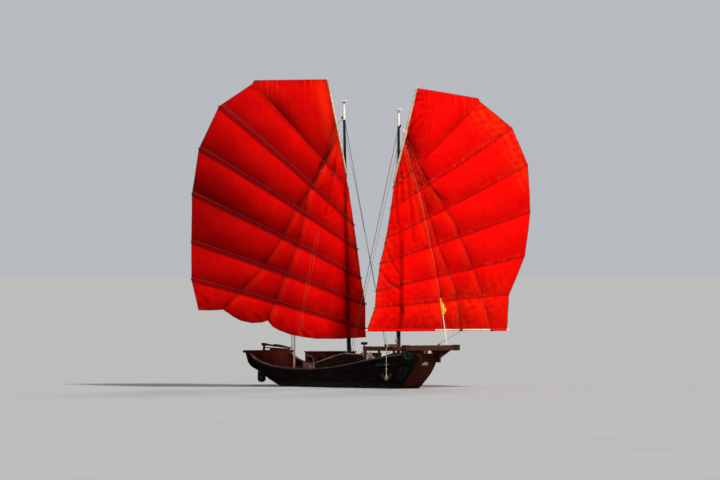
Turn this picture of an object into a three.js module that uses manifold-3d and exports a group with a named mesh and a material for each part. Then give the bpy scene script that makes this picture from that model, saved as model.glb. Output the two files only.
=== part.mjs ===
// A two-masted batten-sailed junk, afloat: hull, decks, masts, fan-shaped sails, rudder and ground tackle.
// Millimetres. +X is the bow, +Y is port, +Z is up, and z = 0 is the water's surface.
import * as THREE from "three";
import { mergeVertices } from "three/addons/utils/BufferGeometryUtils.js";
import Module from "manifold-3d";

const wasm = await Module();
wasm.setup();

// Driving dimensions
const GAP = 0.5;
const PLANKING = 60;
const DECK = 40;
const MAIN_DECK_TOP = 600;
const FORE_DECK_DROP = 90;
const STEP_X = 1650;
const CAP = { height: 50, outside: 45, inside: 100, lap: 15, bowEnd: 4980 };
const SEAM = 3;
const WALE = { drop: 300, height: 110, proud: 45 };
const SECTION_POINTS = 14;
const RINGS = 26;

// The raked ends of the hull: height, then how far forward the end stands there
const STERN_PROFILE = [
  [-700, -2450],
  [-250, -3400],
  [40, -4070],
  [480, -4970],
  [720, -5480],
  [1020, -5800],
  [1420, -6050],
];
const BOW_PROFILE = [
  [-700, 2300],
  [-250, 3480],
  [80, 3950],
  [400, 4290],
  [610, 4520],
  [890, 4750],
  [1310, 4990],
  [1620, 5090],
];

// Hull stations: share of the length from stern to bow, half breadth, sheer height, keel height, fullness
const STATIONS = [
  [0.0, 1130, 1420, -200, 4.2],
  [0.045, 1170, 1090, -250, 4.0],
  [0.09, 1200, 940, -310, 3.7],
  [0.19, 1300, 810, -450, 3.1],
  [0.35, 1420, 755, -580, 2.8],
  [0.5, 1470, 800, -630, 2.7],
  [0.65, 1440, 950, -610, 2.6],
  [0.78, 1290, 1180, -530, 2.6],
  [0.89, 980, 1375, -400, 2.8],
  [1.0, 580, 1500, -250, 3.4],
];

// Masts: place on the centreline, rake aft, heights of the deck and the head, radius at deck and head
const MAIN_MAST = { x: -300, rake: 2.0, foot: 600, head: 12330, deckRadius: 88, headRadius: 52 };
const FORE_MAST = { x: 3100, rake: 0, foot: 1180, head: 11900, deckRadius: 85, headRadius: 50 };
const MAST_CAP = { radius: 155, height: 60 };

// Sails: angle of the boom from right aft, and the cloth's distance from the mast's axis
const MAIN_SET = -62;
const FORE_SET = 105;
const SAIL_STAND_OFF = 215;
const CLOTH = 8;
const SWELL = { columns: 18, steps: 4, depth: 0.1, tallest: 1700, atEdges: 0.22 };
const BATTEN_RADIUS = 34;
const YARD_RADIUS = 46;

// Rows of a sail, head first: luff aft of the mast, luff height, leech aft of the mast, leech height, belly
const MAIN_ROWS = [
  [776, 13230, 3920, 13230, 90],
  [-86, 8450, 3960, 13110, 240],
  [-270, 7000, 5470, 12140, 340],
  [-400, 5950, 6380, 10340, 380],
  [-530, 4690, 6720, 8400, 380],
  [-700, 3570, 6790, 6340, 350],
  [-680, 2520, 6820, 4730, 300],
  [-700, 2140, 6540, 3420, 260],
];
const FORE_ROWS = [
  [792, 12780, 3620, 12370, 90],
  [-330, 8560, 3660, 12260, 240],
  [-450, 7680, 5200, 11120, 340],
  [-680, 6400, 5930, 9540, 380],
  [-950, 5330, 6050, 7520, 370],
  [-1130, 4180, 5790, 5630, 330],
  [-1190, 3440, 5050, 3980, 240],
  [-1550, 2590, 4950, 2610, 110],
];
// Yards: lower end and upper end, aft of the mast and height
const MAIN_YARD = { low: [-10, 9150], high: [760, 13420] };
const FORE_YARD = { low: [-330, 8750], high: [790, 12960] };
const FORE_BOOM = { fore: [-1640, 2500], aft: [5050, 2490], radius: 42 };
const BATTEN_OVERHANG = 60;
// Foot of the cloth: aft of the mast, height. The main's hangs in scallops
const MAIN_FOOT = [
  [-700, 2140],
  [440, 2090],
  [1530, 2110],
  [2640, 2300],
  [3420, 2660],
  [3650, 2900],
  [4300, 2820],
  [4900, 3010],
  [5500, 3420],
  [6540, 3420],
];
const FORE_FOOT = [
  [-1550, 2590],
  [1500, 2560],
  [4950, 2610],
];

// Colours
const COLOURS = {
  tarredWood: 0x241d1b,
  deckWood: 0x4c382b,
  capWood: 0x8a6a5c,
  bowWood: 0x5a2c1e,
  spar: 0xc9a77c,
  mast: 0x17181b,
  sail: 0xc8170e,
  batten: 0x5e1a12,
  rope: 0xcfc7b4,
  steel: 0xb9b2a2,
  flag: 0xe8a412,
};

const boat = new THREE.Group();

function finish(colour, roughness = 0.8, metalness = 0) {
  return new THREE.MeshStandardMaterial({ color: COLOURS[colour], roughness, metalness });
}

function add(name, geometry, colour, parent = boat) {
  const mesh = new THREE.Mesh(geometry, finish(colour));
  mesh.name = name;
  parent.add(mesh);
  return mesh;
}

// Closed solids and their joins
function toSolid(geometry) {
  const bare = geometry.clone();
  bare.deleteAttribute("normal");
  bare.deleteAttribute("uv");
  const merged = mergeVertices(bare, 0.001);
  return new wasm.Manifold(
    new wasm.Mesh({
      numProp: 3,
      vertProperties: merged.attributes.position.array,
      triVerts: new Uint32Array(merged.index.array),
    }),
  );
}

function toGeometry(solid) {
  const mesh = solid.getMesh();
  const geometry = new THREE.BufferGeometry();
  geometry.setAttribute("position", new THREE.BufferAttribute(new Float32Array(mesh.vertProperties), 3));
  geometry.setIndex(new THREE.BufferAttribute(new Uint32Array(mesh.triVerts), 1));
  return geometry;
}

function join(...geometries) {
  return toGeometry(geometries.map(toSolid).reduce((all, one) => all.add(one)));
}

function cut(geometry, ...tools) {
  return toGeometry(tools.map(toSolid).reduce((left, tool) => left.subtract(tool), toSolid(geometry)));
}

function common(geometry, tool) {
  return toGeometry(toSolid(geometry).intersect(toSolid(tool)));
}

// A box between two opposite corners
function block(low, high) {
  const size = low.map((v, i) => high[i] - v);
  const box = new THREE.BoxGeometry(...size);
  return box.translate(...low.map((v, i) => v + size[i] / 2));
}

// A round bar from one point to another
function rod(from, to, radius, endRadius = radius, sides = 12) {
  const a = new THREE.Vector3(...from);
  const b = new THREE.Vector3(...to);
  const way = b.clone().sub(a);
  const bar = new THREE.CylinderGeometry(endRadius, radius, way.length(), sides);
  const turn = new THREE.Quaternion().setFromUnitVectors(new THREE.Vector3(0, 1, 0), way.clone().normalize());
  bar.applyQuaternion(turn);
  return bar.translate(...a.add(b).multiplyScalar(0.5).toArray());
}

// An outline in the YZ plane pushed from one x to another
function athwartPlate(outline, fromX, toX) {
  const shape = new THREE.Shape(outline.map(([y, z]) => new THREE.Vector2(y, z)));
  const plate = new THREE.ExtrudeGeometry(shape, { depth: toX - fromX, bevelEnabled: false });
  plate.applyMatrix4(new THREE.Matrix4().makeBasis(
    new THREE.Vector3(0, 1, 0),
    new THREE.Vector3(0, 0, 1),
    new THREE.Vector3(1, 0, 0),
  ));
  return plate.translate(fromX, 0, 0);
}

// A closed body through rings of points; the first and last points of a ring are opposite each other
function loft(rings) {
  const count = rings[0].length;
  const faces = [];
  for (let r = 0; r + 1 < rings.length; r++) {
    for (let i = 0; i < count; i++) {
      const a = r * count + i;
      const b = r * count + ((i + 1) % count);
      faces.push(a, b, b + count, a, b + count, a + count);
    }
  }
  for (const [base, flip] of [[0, true], [(rings.length - 1) * count, false]]) {
    for (let i = 0; i < count / 2 - 1; i++) {
      const quad = [i, i + 1, count - 2 - i, count - 1 - i].map((k) => base + k);
      if (flip) quad.reverse();
      faces.push(quad[0], quad[1], quad[2], quad[0], quad[2], quad[3]);
    }
  }
  const points = rings.flat();
  let volume = 0;
  for (let f = 0; f < faces.length; f += 3) {
    const [a, b, c] = [0, 1, 2].map((k) => new THREE.Vector3(...points[faces[f + k]]));
    volume += a.dot(b.cross(c));
  }
  if (volume < 0) faces.reverse();
  const geometry = new THREE.BufferGeometry();
  geometry.setAttribute("position", new THREE.BufferAttribute(new Float32Array(points.flat()), 3));
  geometry.setIndex(faces);
  return geometry;
}

// A smooth curve through a table whose first column is the place
function through(table) {
  const width = table[0].length - 1;
  const places = new Float32Array(table.map((row) => row[0]));
  const values = new Float32Array(table.flatMap((row) => row.slice(1)));
  const curve = new THREE.CubicInterpolant(places, values, width, new Float32Array(width));
  return (place) => Array.from(curve.evaluate(place));
}

const sternAt = through(STERN_PROFILE);
const bowAt = through(BOW_PROFILE);
const stationAt = through(STATIONS);

function shareAt(x, z) {
  const stern = sternAt(z)[0];
  return (x - stern) / (bowAt(z)[0] - stern);
}

// The share of the length at which the sheer reaches a place along the boat
function sheerShare(x) {
  let share = 0.5;
  for (let i = 0; i < 30; i++) share = THREE.MathUtils.clamp(shareAt(x, stationAt(share)[1]), 0, 1);
  return share;
}

// Half breadth of the planking's outside at a station and a height
function breadthAt(share, z) {
  const [half, sheer, keel, fullness] = stationAt(share);
  const down = THREE.MathUtils.clamp((sheer - z) / (sheer - keel), 0, 1);
  return half * Math.pow(1 - Math.pow(down, fullness), 1 / fullness);
}

// One section of the hull, grown outwards by a margin and carried up past the sheer
function hullRing(share, grow, above) {
  const [half, sheer, keel, fullness] = stationAt(share);
  const side = [];
  for (let i = 0; i < SECTION_POINTS; i++) {
    const angle = (i / (SECTION_POINTS - 0.5)) * (Math.PI / 2);
    const out = Math.pow(Math.cos(angle), 2 / fullness) * (half + grow);
    const z = sheer - Math.pow(Math.sin(angle), 2 / fullness) * (sheer - keel + grow);
    side.push([out, z]);
  }
  if (above > 0) side.unshift([half + grow, sheer + above]);
  const point = ([out, z], sign) => {
    const height = Math.min(z, sheer);
    const stern = sternAt(height)[0] - grow;
    const bow = bowAt(height)[0] + grow;
    return [stern + share * (bow - stern), sign * out, z];
  };
  const port = side.map((p) => point(p, 1));
  const starboard = side.map((p) => point(p, -1)).reverse();
  return [...port, ...starboard];
}

function hullBody(grow, above) {
  const rings = [];
  for (let i = 0; i <= RINGS; i++) rings.push(hullRing(i / RINGS, grow, above));
  return loft(rings);
}

const outside = hullBody(0, 0);
const clearOutside = hullBody(GAP, GAP);
const inside = hullBody(-PLANKING, 400);
const clearInside = hullBody(-PLANKING - GAP, 400);

// A plank that follows the sheer: corners give distance outside the planking and height above the sheer
function sheerPlank(side, fromX, toX, corners) {
  const from = sheerShare(fromX);
  const to = sheerShare(toX);
  const shares = Array.from({ length: RINGS + 1 }, (_, i) => i / RINGS);
  const between = shares.filter((share) => share > from + 0.004 && share < to - 0.004);
  const rings = [from, ...between, to].map((share) => {
    const [half, sheer] = stationAt(share);
    const stern = sternAt(sheer)[0];
    const x = stern + share * (bowAt(sheer)[0] - stern);
    return corners(x, sheer).map(([out, z]) => [x, side * (half + out), z]);
  });
  return loft(rings);
}

// Planking, keel and the strakes that follow the sheer
add("hull_shell", cut(outside, inside), "tarredWood");

const KEEL = { half: 70, foot: -745, low: [-2150, 2350], high: [-2900, 3050], top: -300 };
function keelTimber() {
  const { half, foot, low, high, top } = KEEL;
  const ring = (z, [x0, x1]) => [[x0, half, z], [x1, half, z], [x1, -half, z], [x0, -half, z]];
  return cut(loft([ring(foot, low), ring(top, high)]), clearOutside);
}
add("keel", keelTimber(), "tarredWood");

// A value read from a table of place and value along straight lines
function readAlong(table, place) {
  const next = table.findIndex((row) => row[0] >= place);
  if (next <= 0) return next === 0 ? table[0][1] : table[table.length - 1][1];
  const [[x0, y0], [x1, y1]] = [table[next - 1], table[next]];
  return y0 + ((y1 - y0) * (place - x0)) / (x1 - x0);
}

// Washboards: place, height of the top edge; then the boards and the cap as distances outside the planking
const WASHBOARD = [
  [-880, 1010],
  [530, 1340],
  [1130, 1450],
  [2200, 1420],
];
const WASHBOARD_FACES = { outside: -20, inside: -55 };
const WASHBOARD_CAP = { height: 45, outside: 15, inside: -90 };
const [WASHBOARD_FROM, WASHBOARD_TO] = [WASHBOARD[0][0], WASHBOARD[WASHBOARD.length - 1][0]];
const washboardTop = (x) => readAlong(WASHBOARD, x);
const FORE_RAIL = { fromX: 2330, toX: 4700, low: 1600, high: 1790, proud: 10, thickness: 60 };
const FORE_RAIL_POST = { places: [2400, 3150, 3900, 4560], length: 90, half: 35, inboard: 60, lap: 60 };
// Cheek board at the rail's fore end, outside the gunwale cap, with its own filling piece up to the rail
const CHEEK = { fromX: 4400, toX: 5030, low: 1215, inside: 52, thickness: 38, lap: 5 };

for (const [sideName, side] of [["starboard", -1], ["port", 1]]) {
  const cap = sheerPlank(side, -5950, CAP.bowEnd, (x, sheer) => [
    [CAP.outside, sheer - CAP.lap],
    [CAP.outside, sheer + CAP.height],
    [-CAP.inside, sheer + CAP.height],
    [-CAP.inside, sheer - CAP.lap],
  ]);
  add("gunwale_cap_" + sideName, cut(cap, clearOutside), "capWood");

  const waleRings = [];
  for (let i = 0; i <= RINGS; i++) {
    const share = 0.012 + (0.976 * i) / RINGS;
    const sheer = stationAt(share)[1];
    const row = [[30, 1], [WALE.proud, 1], [WALE.proud, 0], [30, 0]].map(([proud, up], k) => {
      const z = Math.min(sheer, 1250) - WALE.drop + up * WALE.height;
      const stern = sternAt(z)[0];
      const x = stern + share * (bowAt(z)[0] - stern);
      const inner = k === 0 || k === 3;
      return [x, side * (breadthAt(share, z) + (inner ? -proud : proud)), z];
    });
    waleRings.push(row);
  }
  add("wale_" + sideName, cut(loft(waleRings), clearOutside), "tarredWood");

  const boards = sheerPlank(side, WASHBOARD_FROM, WASHBOARD_TO, (x, sheer) => [
    [WASHBOARD_FACES.outside, sheer + CAP.height + SEAM],
    [WASHBOARD_FACES.outside, washboardTop(x)],
    [WASHBOARD_FACES.inside, washboardTop(x)],
    [WASHBOARD_FACES.inside, sheer + CAP.height + SEAM],
  ]);
  add("washboard_" + sideName, boards, "deckWood");
  const boardCap = sheerPlank(side, WASHBOARD_FROM, WASHBOARD_TO, (x) => [
    [WASHBOARD_CAP.outside, washboardTop(x) + GAP],
    [WASHBOARD_CAP.outside, washboardTop(x) + WASHBOARD_CAP.height],
    [WASHBOARD_CAP.inside, washboardTop(x) + WASHBOARD_CAP.height],
    [WASHBOARD_CAP.inside, washboardTop(x) + GAP],
  ]);
  add("washboard_cap_" + sideName, boardCap, "capWood");

  const rail = sheerPlank(side, FORE_RAIL.fromX, FORE_RAIL.toX, () => [
    [FORE_RAIL.proud, FORE_RAIL.low],
    [FORE_RAIL.proud, FORE_RAIL.high],
    [FORE_RAIL.proud - FORE_RAIL.thickness, FORE_RAIL.high],
    [FORE_RAIL.proud - FORE_RAIL.thickness, FORE_RAIL.low],
  ]);
  const { length, half: postHalf, inboard, lap } = FORE_RAIL_POST;
  const posts = FORE_RAIL_POST.places.map((x) => {
    const [half, sheer] = stationAt(sheerShare(x));
    const y = side * (half - inboard);
    return block(
      [x - length / 2, y - postHalf, sheer + CAP.height + 4 * SEAM],
      [x + length / 2, y + postHalf, FORE_RAIL.low + lap],
    );
  });
  const cheek = sheerPlank(side, CHEEK.fromX, CHEEK.toX, () => [
    [CHEEK.inside + CHEEK.thickness, CHEEK.low],
    [CHEEK.inside + CHEEK.thickness, FORE_RAIL.high],
    [CHEEK.inside, FORE_RAIL.high],
    [CHEEK.inside, CHEEK.low],
  ]);
  const filling = sheerPlank(side, CHEEK.fromX, CHEEK.toX, () => [
    [CHEEK.inside + CHEEK.lap, FORE_RAIL.low],
    [CHEEK.inside + CHEEK.lap, FORE_RAIL.high],
    [FORE_RAIL.proud - FORE_RAIL.thickness, FORE_RAIL.high],
    [FORE_RAIL.proud - FORE_RAIL.thickness, FORE_RAIL.low],
  ]);
  add("fore_rail_" + sideName, join(rail, cheek, filling, ...posts), "bowWood");
}

// Decks and the step between them
const MAST_HOLE_CLEARANCE = 30;
const BEYOND_SIDES = 1600;
function mastHole(mast) {
  const radius = mast.deckRadius + MAST_HOLE_CLEARANCE;
  return rod([mast.x, 0, -500], [mast.x, 0, mast.foot + 500], radius, radius, 24);
}
const mainDeckSlab = block(
  [-6000, -BEYOND_SIDES, MAIN_DECK_TOP - DECK],
  [STEP_X - DECK - GAP, BEYOND_SIDES, MAIN_DECK_TOP],
);
add("main_deck", cut(common(mainDeckSlab, clearInside), mastHole(MAIN_MAST)), "deckWood");

function foreDeckTop(x) {
  return stationAt(sheerShare(x))[1] - FORE_DECK_DROP;
}
function foreDeckSlab(raise = 0, depth = DECK) {
  const rings = [];
  const [steps, beyondBow, side] = [12, 5300, BEYOND_SIDES];
  for (let i = 0; i <= steps; i++) {
    const x = STEP_X + ((beyondBow - STEP_X) * i) / steps;
    const top = foreDeckTop(x) + raise;
    rings.push([[x, side, top], [x, side, top - depth], [x, -side, top - depth], [x, -side, top]]);
  }
  return loft(rings);
}
const belowForeDeck = foreDeckSlab(GAP, 600);
add("fore_deck", cut(common(foreDeckSlab(), clearInside), mastHole(FORE_MAST)), "deckWood");
const stepWall = block(
  [STEP_X - DECK, -BEYOND_SIDES, -900],
  [STEP_X - GAP, BEYOND_SIDES, foreDeckTop(STEP_X)],
);
add("deck_step_bulkhead", common(stepWall, clearInside), "deckWood");

// Bow beam on its two posts, with a knee under each arm and a block at each end
const BOW_BEAM = { fromX: 5180, toX: 5420, half: 1360, low: 1640, high: 1850, endBlock: 110, endProud: 16 };
const BOW_POST = { y: 520, half: 55, low: 1120, fromX: 4800, clearX: CAP.bowEnd + 60, toX: 5260 };
const BOW_KNEE = { root: 1290, tip: 1150, fromX: 5210, toX: 5290 };
function bowBeam() {
  const { fromX, toX, half, low, high, endBlock, endProud } = BOW_BEAM;
  const parts = [block([fromX, -half, low], [toX, half, high])];
  for (const side of [-1, 1]) {
    const y = side * BOW_POST.y;
    const w = BOW_POST.half;
    parts.push(block([BOW_POST.fromX, y - w, BOW_POST.low], [BOW_POST.toX, y + w, low + 30]));
    const knee = [[BOW_POST.y, BOW_KNEE.root], [BOW_POST.y, low + 20], [BOW_KNEE.tip, low + 20]];
    if (side > 0) knee.reverse();
    parts.push(athwartPlate(knee.map(([ky, kz]) => [side * ky, kz]), BOW_KNEE.fromX, BOW_KNEE.toX));
    parts.push(block(
      [fromX - endProud, side * half - endBlock, low - endProud],
      [toX + endProud, side * half + endBlock, high + endProud],
    ));
  }
  const overDeck = block([BOW_POST.fromX - 100, -900, 1380], [BOW_POST.clearX, 900, low + 60]);
  return cut(join(...parts), clearOutside, overDeck);
}
add("bow_beam", bowBeam(), "bowWood");

// Stern beam on the raked transom, and the raised board to port of the opening
const STERN_BEAM = { fromX: -6200, toX: -5960, half: 1300, low: 1420 + GAP, high: 1530 };
add("stern_beam", block(
  [STERN_BEAM.fromX, -STERN_BEAM.half, STERN_BEAM.low],
  [STERN_BEAM.toX, STERN_BEAM.half, STERN_BEAM.high],
), "capWood");
const STERN_BOARD = {
  x: -6080,
  thickness: 50,
  openFrom: -280,
  solidFrom: 100,
  to: 1170,
  highStart: 1665,
  highEnd: 1585,
  postWidth: 60,
  railDepth: 45,
};
function sternBoard() {
  const { x, thickness, openFrom, solidFrom, to, highStart, highEnd, postWidth, railDepth } = STERN_BOARD;
  const low = STERN_BEAM.high + GAP;
  const topAt = (y) => highStart + ((highEnd - highStart) * (y - openFrom)) / (to - openFrom);
  const innerFrom = openFrom + postWidth;
  const outline = [
    [openFrom, low], [openFrom, topAt(openFrom)], [to, topAt(to)], [to, low], [solidFrom, low],
    [solidFrom, topAt(solidFrom) - railDepth], [innerFrom, topAt(openFrom) - railDepth], [innerFrom, low],
  ];
  return athwartPlate(outline.reverse(), x - thickness / 2, x + thickness / 2);
}
add("stern_board", sternBoard(), "capWood");

// Cuddy between the main mast and the helm, with a door in its after wall
const CUDDY = { fromX: -2350, toX: -950, half: 800, top: 1480, wall: 35, roof: 45, eave: 60 };
const CUDDY_DOOR = { half: 300, low: 680, high: 1400, thickness: 30, clearance: 6 };
const CUDDY_WINDOW = { length: 260, height: 150, low: 1130, places: [-2000, -1300] };
function cuddyWalls() {
  const { fromX, toX, half, top, wall } = CUDDY;
  const low = MAIN_DECK_TOP + GAP;
  const shell = cut(
    block([fromX, -half, low], [toX, half, top]),
    block([fromX + wall, -half + wall, low - 10], [toX - wall, half - wall, top + 10]),
  );
  const { half: doorHalf, low: doorLow, high: doorHigh } = CUDDY_DOOR;
  const doorway = block([fromX - 50, -doorHalf, doorLow], [fromX + wall + 50, doorHalf, doorHigh]);
  const windows = CUDDY_WINDOW.places.map((x) => block(
    [x - CUDDY_WINDOW.length / 2, -half - 50, CUDDY_WINDOW.low],
    [x + CUDDY_WINDOW.length / 2, half + 50, CUDDY_WINDOW.low + CUDDY_WINDOW.height],
  ));
  return cut(shell, doorway, ...windows);
}
add("cuddy_walls", cuddyWalls(), "deckWood");
add("cuddy_roof", block(
  [CUDDY.fromX - CUDDY.eave, -CUDDY.half - CUDDY.eave, CUDDY.top + GAP],
  [CUDDY.toX + CUDDY.eave, CUDDY.half + CUDDY.eave, CUDDY.top + CUDDY.roof],
), "deckWood");
function cuddyDoor() {
  const { half, low, high, thickness, clearance } = CUDDY_DOOR;
  const face = CUDDY.fromX - thickness - 4;
  const panel = block([face, -half + clearance, low + clearance], [face + thickness, half + 30, high + 30]);
  const hinges = [low + 120, high - 120].map((z) => rod(
    [face - 4, half + 42, z - 45],
    [face - 4, half + 42, z + 45],
    14,
  ));
  const straps = [low + 120, high - 120].map((z) => block(
    [face - 9, half - 180, z - 20],
    [face + 1, half + 40, z + 20],
  ));
  return join(panel, ...hinges, ...straps);
}
add("cuddy_door", cuddyDoor(), "bowWood");

// Masts, their caps and the blocks that hold them at the deck
function mastPoint(mast, z, along = 0) {
  return [mast.x - Math.tan(THREE.MathUtils.degToRad(mast.rake)) * (z - mast.foot) + along, 0, z];
}
function mastRadius(mast, z) {
  return THREE.MathUtils.lerp(mast.deckRadius, mast.headRadius, (z - mast.foot) / (mast.head - mast.foot));
}
const PARTNER = { half: 190, width: 570, height: 110, clearance: 12 };
const belowMainDeck = block([-1000, -BEYOND_SIDES, 0], [1000, BEYOND_SIDES, MAIN_DECK_TOP + GAP]);
function partner(mast, deck) {
  const { half, width, height, clearance } = PARTNER;
  const [x, side, hole] = [mast.x, width / 2, mast.deckRadius + clearance];
  const body = block([x - half, -side, mast.foot - height], [x + half, side, mast.foot + height]);
  return cut(body, deck, rod([x, 0, mast.foot - 2 * height], [x, 0, mast.foot + 2 * height], hole, hole, 24));
}
// A mast stands in the bottom of the hull
const LOWEST = -1000;
function mastPole(mast) {
  const reach = 300;
  const around = block([mast.x - reach, -reach, LOWEST - reach], [mast.x + reach, reach, 0]);
  const bottom = cut(around, clearInside);
  const head = mastPoint(mast, mast.head - MAST_CAP.height);
  return cut(rod(mastPoint(mast, LOWEST), head, mastRadius(mast, mast.foot), mast.headRadius, 20), bottom);
}
for (const [name, mast, deck] of [["main", MAIN_MAST, belowMainDeck], ["fore", FORE_MAST, belowForeDeck]]) {
  add(name + "_mast", mastPole(mast), "mast");
  const capFoot = mastPoint(mast, mast.head - MAST_CAP.height + GAP);
  add(name + "_mast_cap", rod(capFoot, mastPoint(mast, mast.head), MAST_CAP.radius), "mast");
  add(name + "_partner", partner(mast, deck), "deckWood");
}

// Stays: from beside a mast to just above the washboard's cap
const STAYS = [
  { name: "main_stay", mast: MAIN_MAST, z: 11300, footX: 500, side: 1 },
  { name: "fore_stay", mast: FORE_MAST, z: 10900, footX: 1520, side: -1 },
];
const STAY = { radius: 11, inboard: 40, clearance: 4 };
for (const { name, mast, z, footX, side } of STAYS) {
  const [x, y] = mastPoint(mast, z);
  const start = [x, y + side * (mastRadius(mast, z) + STAY.radius + STAY.clearance), z];
  const rail = washboardTop(footX) + WASHBOARD_CAP.height + STAY.clearance;
  const foot = [footX, side * (stationAt(sheerShare(footX))[0] - STAY.inboard), rail];
  add(name, rod(start, foot, STAY.radius, STAY.radius, 8), "mast");
}

// Sails, in a frame that stands on the mast: x is aft along the boom, y is away from the mast, z is up
function sailFrame(mast, set) {
  const rakeGroup = new THREE.Group();
  rakeGroup.position.set(mast.x, 0, mast.foot);
  rakeGroup.rotation.y = THREE.MathUtils.degToRad(-mast.rake);
  const turned = new THREE.Group();
  turned.rotation.z = Math.PI - THREE.MathUtils.degToRad(set);
  turned.position.z = -mast.foot;
  rakeGroup.add(turned);
  boat.add(rakeGroup);
  return turned;
}

// A point of a row: its belly carries it away from the mast between luff and leech
function rowPoint(row, share, side, extra = 0) {
  const [luff, luffZ, leech, leechZ, belly] = row;
  return [
    luff + (leech - luff) * share,
    side * (SAIL_STAND_OFF + extra + belly * 4 * share * (1 - share)),
    luffZ + (leechZ - luffZ) * share,
  ];
}

// The cloth: a thin sheet through the rows that swells between battens and ends in its shaped foot
function sailCloth(rows, side, foot) {
  const { columns, steps, tallest, depth, atEdges } = SWELL;
  const last = rows.length - 2;
  const face = (r, part, extra) => Array.from({ length: columns + 1 }, (_, c) => {
    const share = c / columns;
    const upper = rowPoint(rows[r], share, side);
    const lower = rowPoint(rows[r + 1], share, side);
    if (r === last) lower[2] = readAlong(foot, lower[0]);
    const point = upper.map((v, i) => v + (lower[i] - v) * part);
    const tall = Math.min(upper[2] - lower[2], tallest);
    const across = atEdges + (1 - atEdges) * (1 - Math.pow(Math.abs(2 * share - 1), 2.5));
    const down = Math.sin((r === last ? 0.75 : 1) * Math.PI * part);
    point[1] += side * (extra + depth * tall * across * down);
    return point;
  });
  const ring = (r, part) => [...face(r, part, 0), ...face(r, part, CLOTH).reverse()];
  const rings = [];
  for (let r = 0; r <= last; r++) {
    for (let k = 0; k < steps; k++) rings.push(ring(r, k / steps));
  }
  rings.push(ring(last, 1));
  return loft(rings);
}

// A round spar along a curve
function spar(points, radius) {
  const path = new THREE.CatmullRomCurve3(points.map((p) => new THREE.Vector3(...p)));
  const ring = new THREE.Shape();
  ring.absarc(0, 0, radius, 0, Math.PI * 2);
  return new THREE.ExtrudeGeometry(ring, {
    steps: 8,
    curveSegments: 4,
    bevelEnabled: false,
    extrudePath: path,
  });
}

// A batten behind the cloth, with a hoop round the mast where it crosses it
const HOOP = { clear: 45, thickness: 28, depth: 36 };
const BATTEN_BEHIND = 3;
function batten(mast, row, side) {
  const behind = -BATTEN_RADIUS - BATTEN_BEHIND;
  const over = BATTEN_OVERHANG / (row[2] - row[0]);
  const shares = [-over, 0.2, 0.4, 0.6, 0.8, 1 + over / 2];
  const bar = spar(shares.map((share) => rowPoint(row, share, side, behind)), BATTEN_RADIUS);
  const [, reach, height] = rowPoint(row, -row[0] / (row[2] - row[0]), side, behind);
  const inner = mast.deckRadius + HOOP.clear;
  const outer = inner + HOOP.thickness;
  const middle = (reach - side * inner) / 2;
  const half = Math.abs(reach - middle);
  const hoop = new THREE.Shape();
  hoop.absellipse(0, middle, outer, half + HOOP.thickness / 2, 0, Math.PI * 2);
  const hole = new THREE.Path();
  hole.absellipse(0, middle, inner, half - HOOP.thickness / 2, 0, Math.PI * 2);
  hoop.holes.push(hole);
  const loop = new THREE.ExtrudeGeometry(hoop, { depth: HOOP.depth, curveSegments: 7, bevelEnabled: false });
  return join(bar, loop.translate(0, 0, height - HOOP.depth / 2));
}

function sail(name, mast, set, side, rows, foot, yard) {
  const frame = sailFrame(mast, set);
  const sparPoint = ([u, z]) => [u, side * (SAIL_STAND_OFF + CLOTH / 2), z];
  add(name + "_sail", sailCloth(rows, side, foot), "sail", frame);
  add(name + "_yard", rod(sparPoint(yard.low), sparPoint(yard.high), YARD_RADIUS), "spar", frame);
  rows.slice(1, -1).forEach((row, i) => {
    add(`${name}_batten_${i + 1}`, batten(mast, row, side), "batten", frame);
  });
  return { frame, sparPoint };
}
sail("main", MAIN_MAST, MAIN_SET, 1, MAIN_ROWS, MAIN_FOOT, MAIN_YARD);
const foreSail = sail("fore", FORE_MAST, FORE_SET, -1, FORE_ROWS, FORE_FOOT, FORE_YARD);
const [boomFore, boomAft] = [FORE_BOOM.fore, FORE_BOOM.aft].map(foreSail.sparPoint);
add("fore_boom", rod(boomFore, boomAft, FORE_BOOM.radius), "spar", foreSail.frame);

// Rudder, hoisted clear of the water, with its brackets and tiller
const STOCK = { x: -6380, radius: 48, low: 250, high: 1835, clearance: 6 };
const BRACKET = { half: 95, boss: 105, low: 960, high: 1060, fromX: -5700 };
const BLADE = { aft: 440, fore: 70, thickness: 60, low: 120, high: 880, cornerCut: 60, rounding: 190 };
const SLEEVE = { thickness: 26, below: 40 };
const TILLER = { half: 35, halfHeight: 40 };
// Sections of the tiller: place, height, share of the full size
const TILLER_SECTIONS = [
  [-6500, 1780, 1.5],
  [-6280, 1768, 1.5],
  [-6120, 1758, 1],
  [-4400, 1630, 0.6],
];
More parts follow.
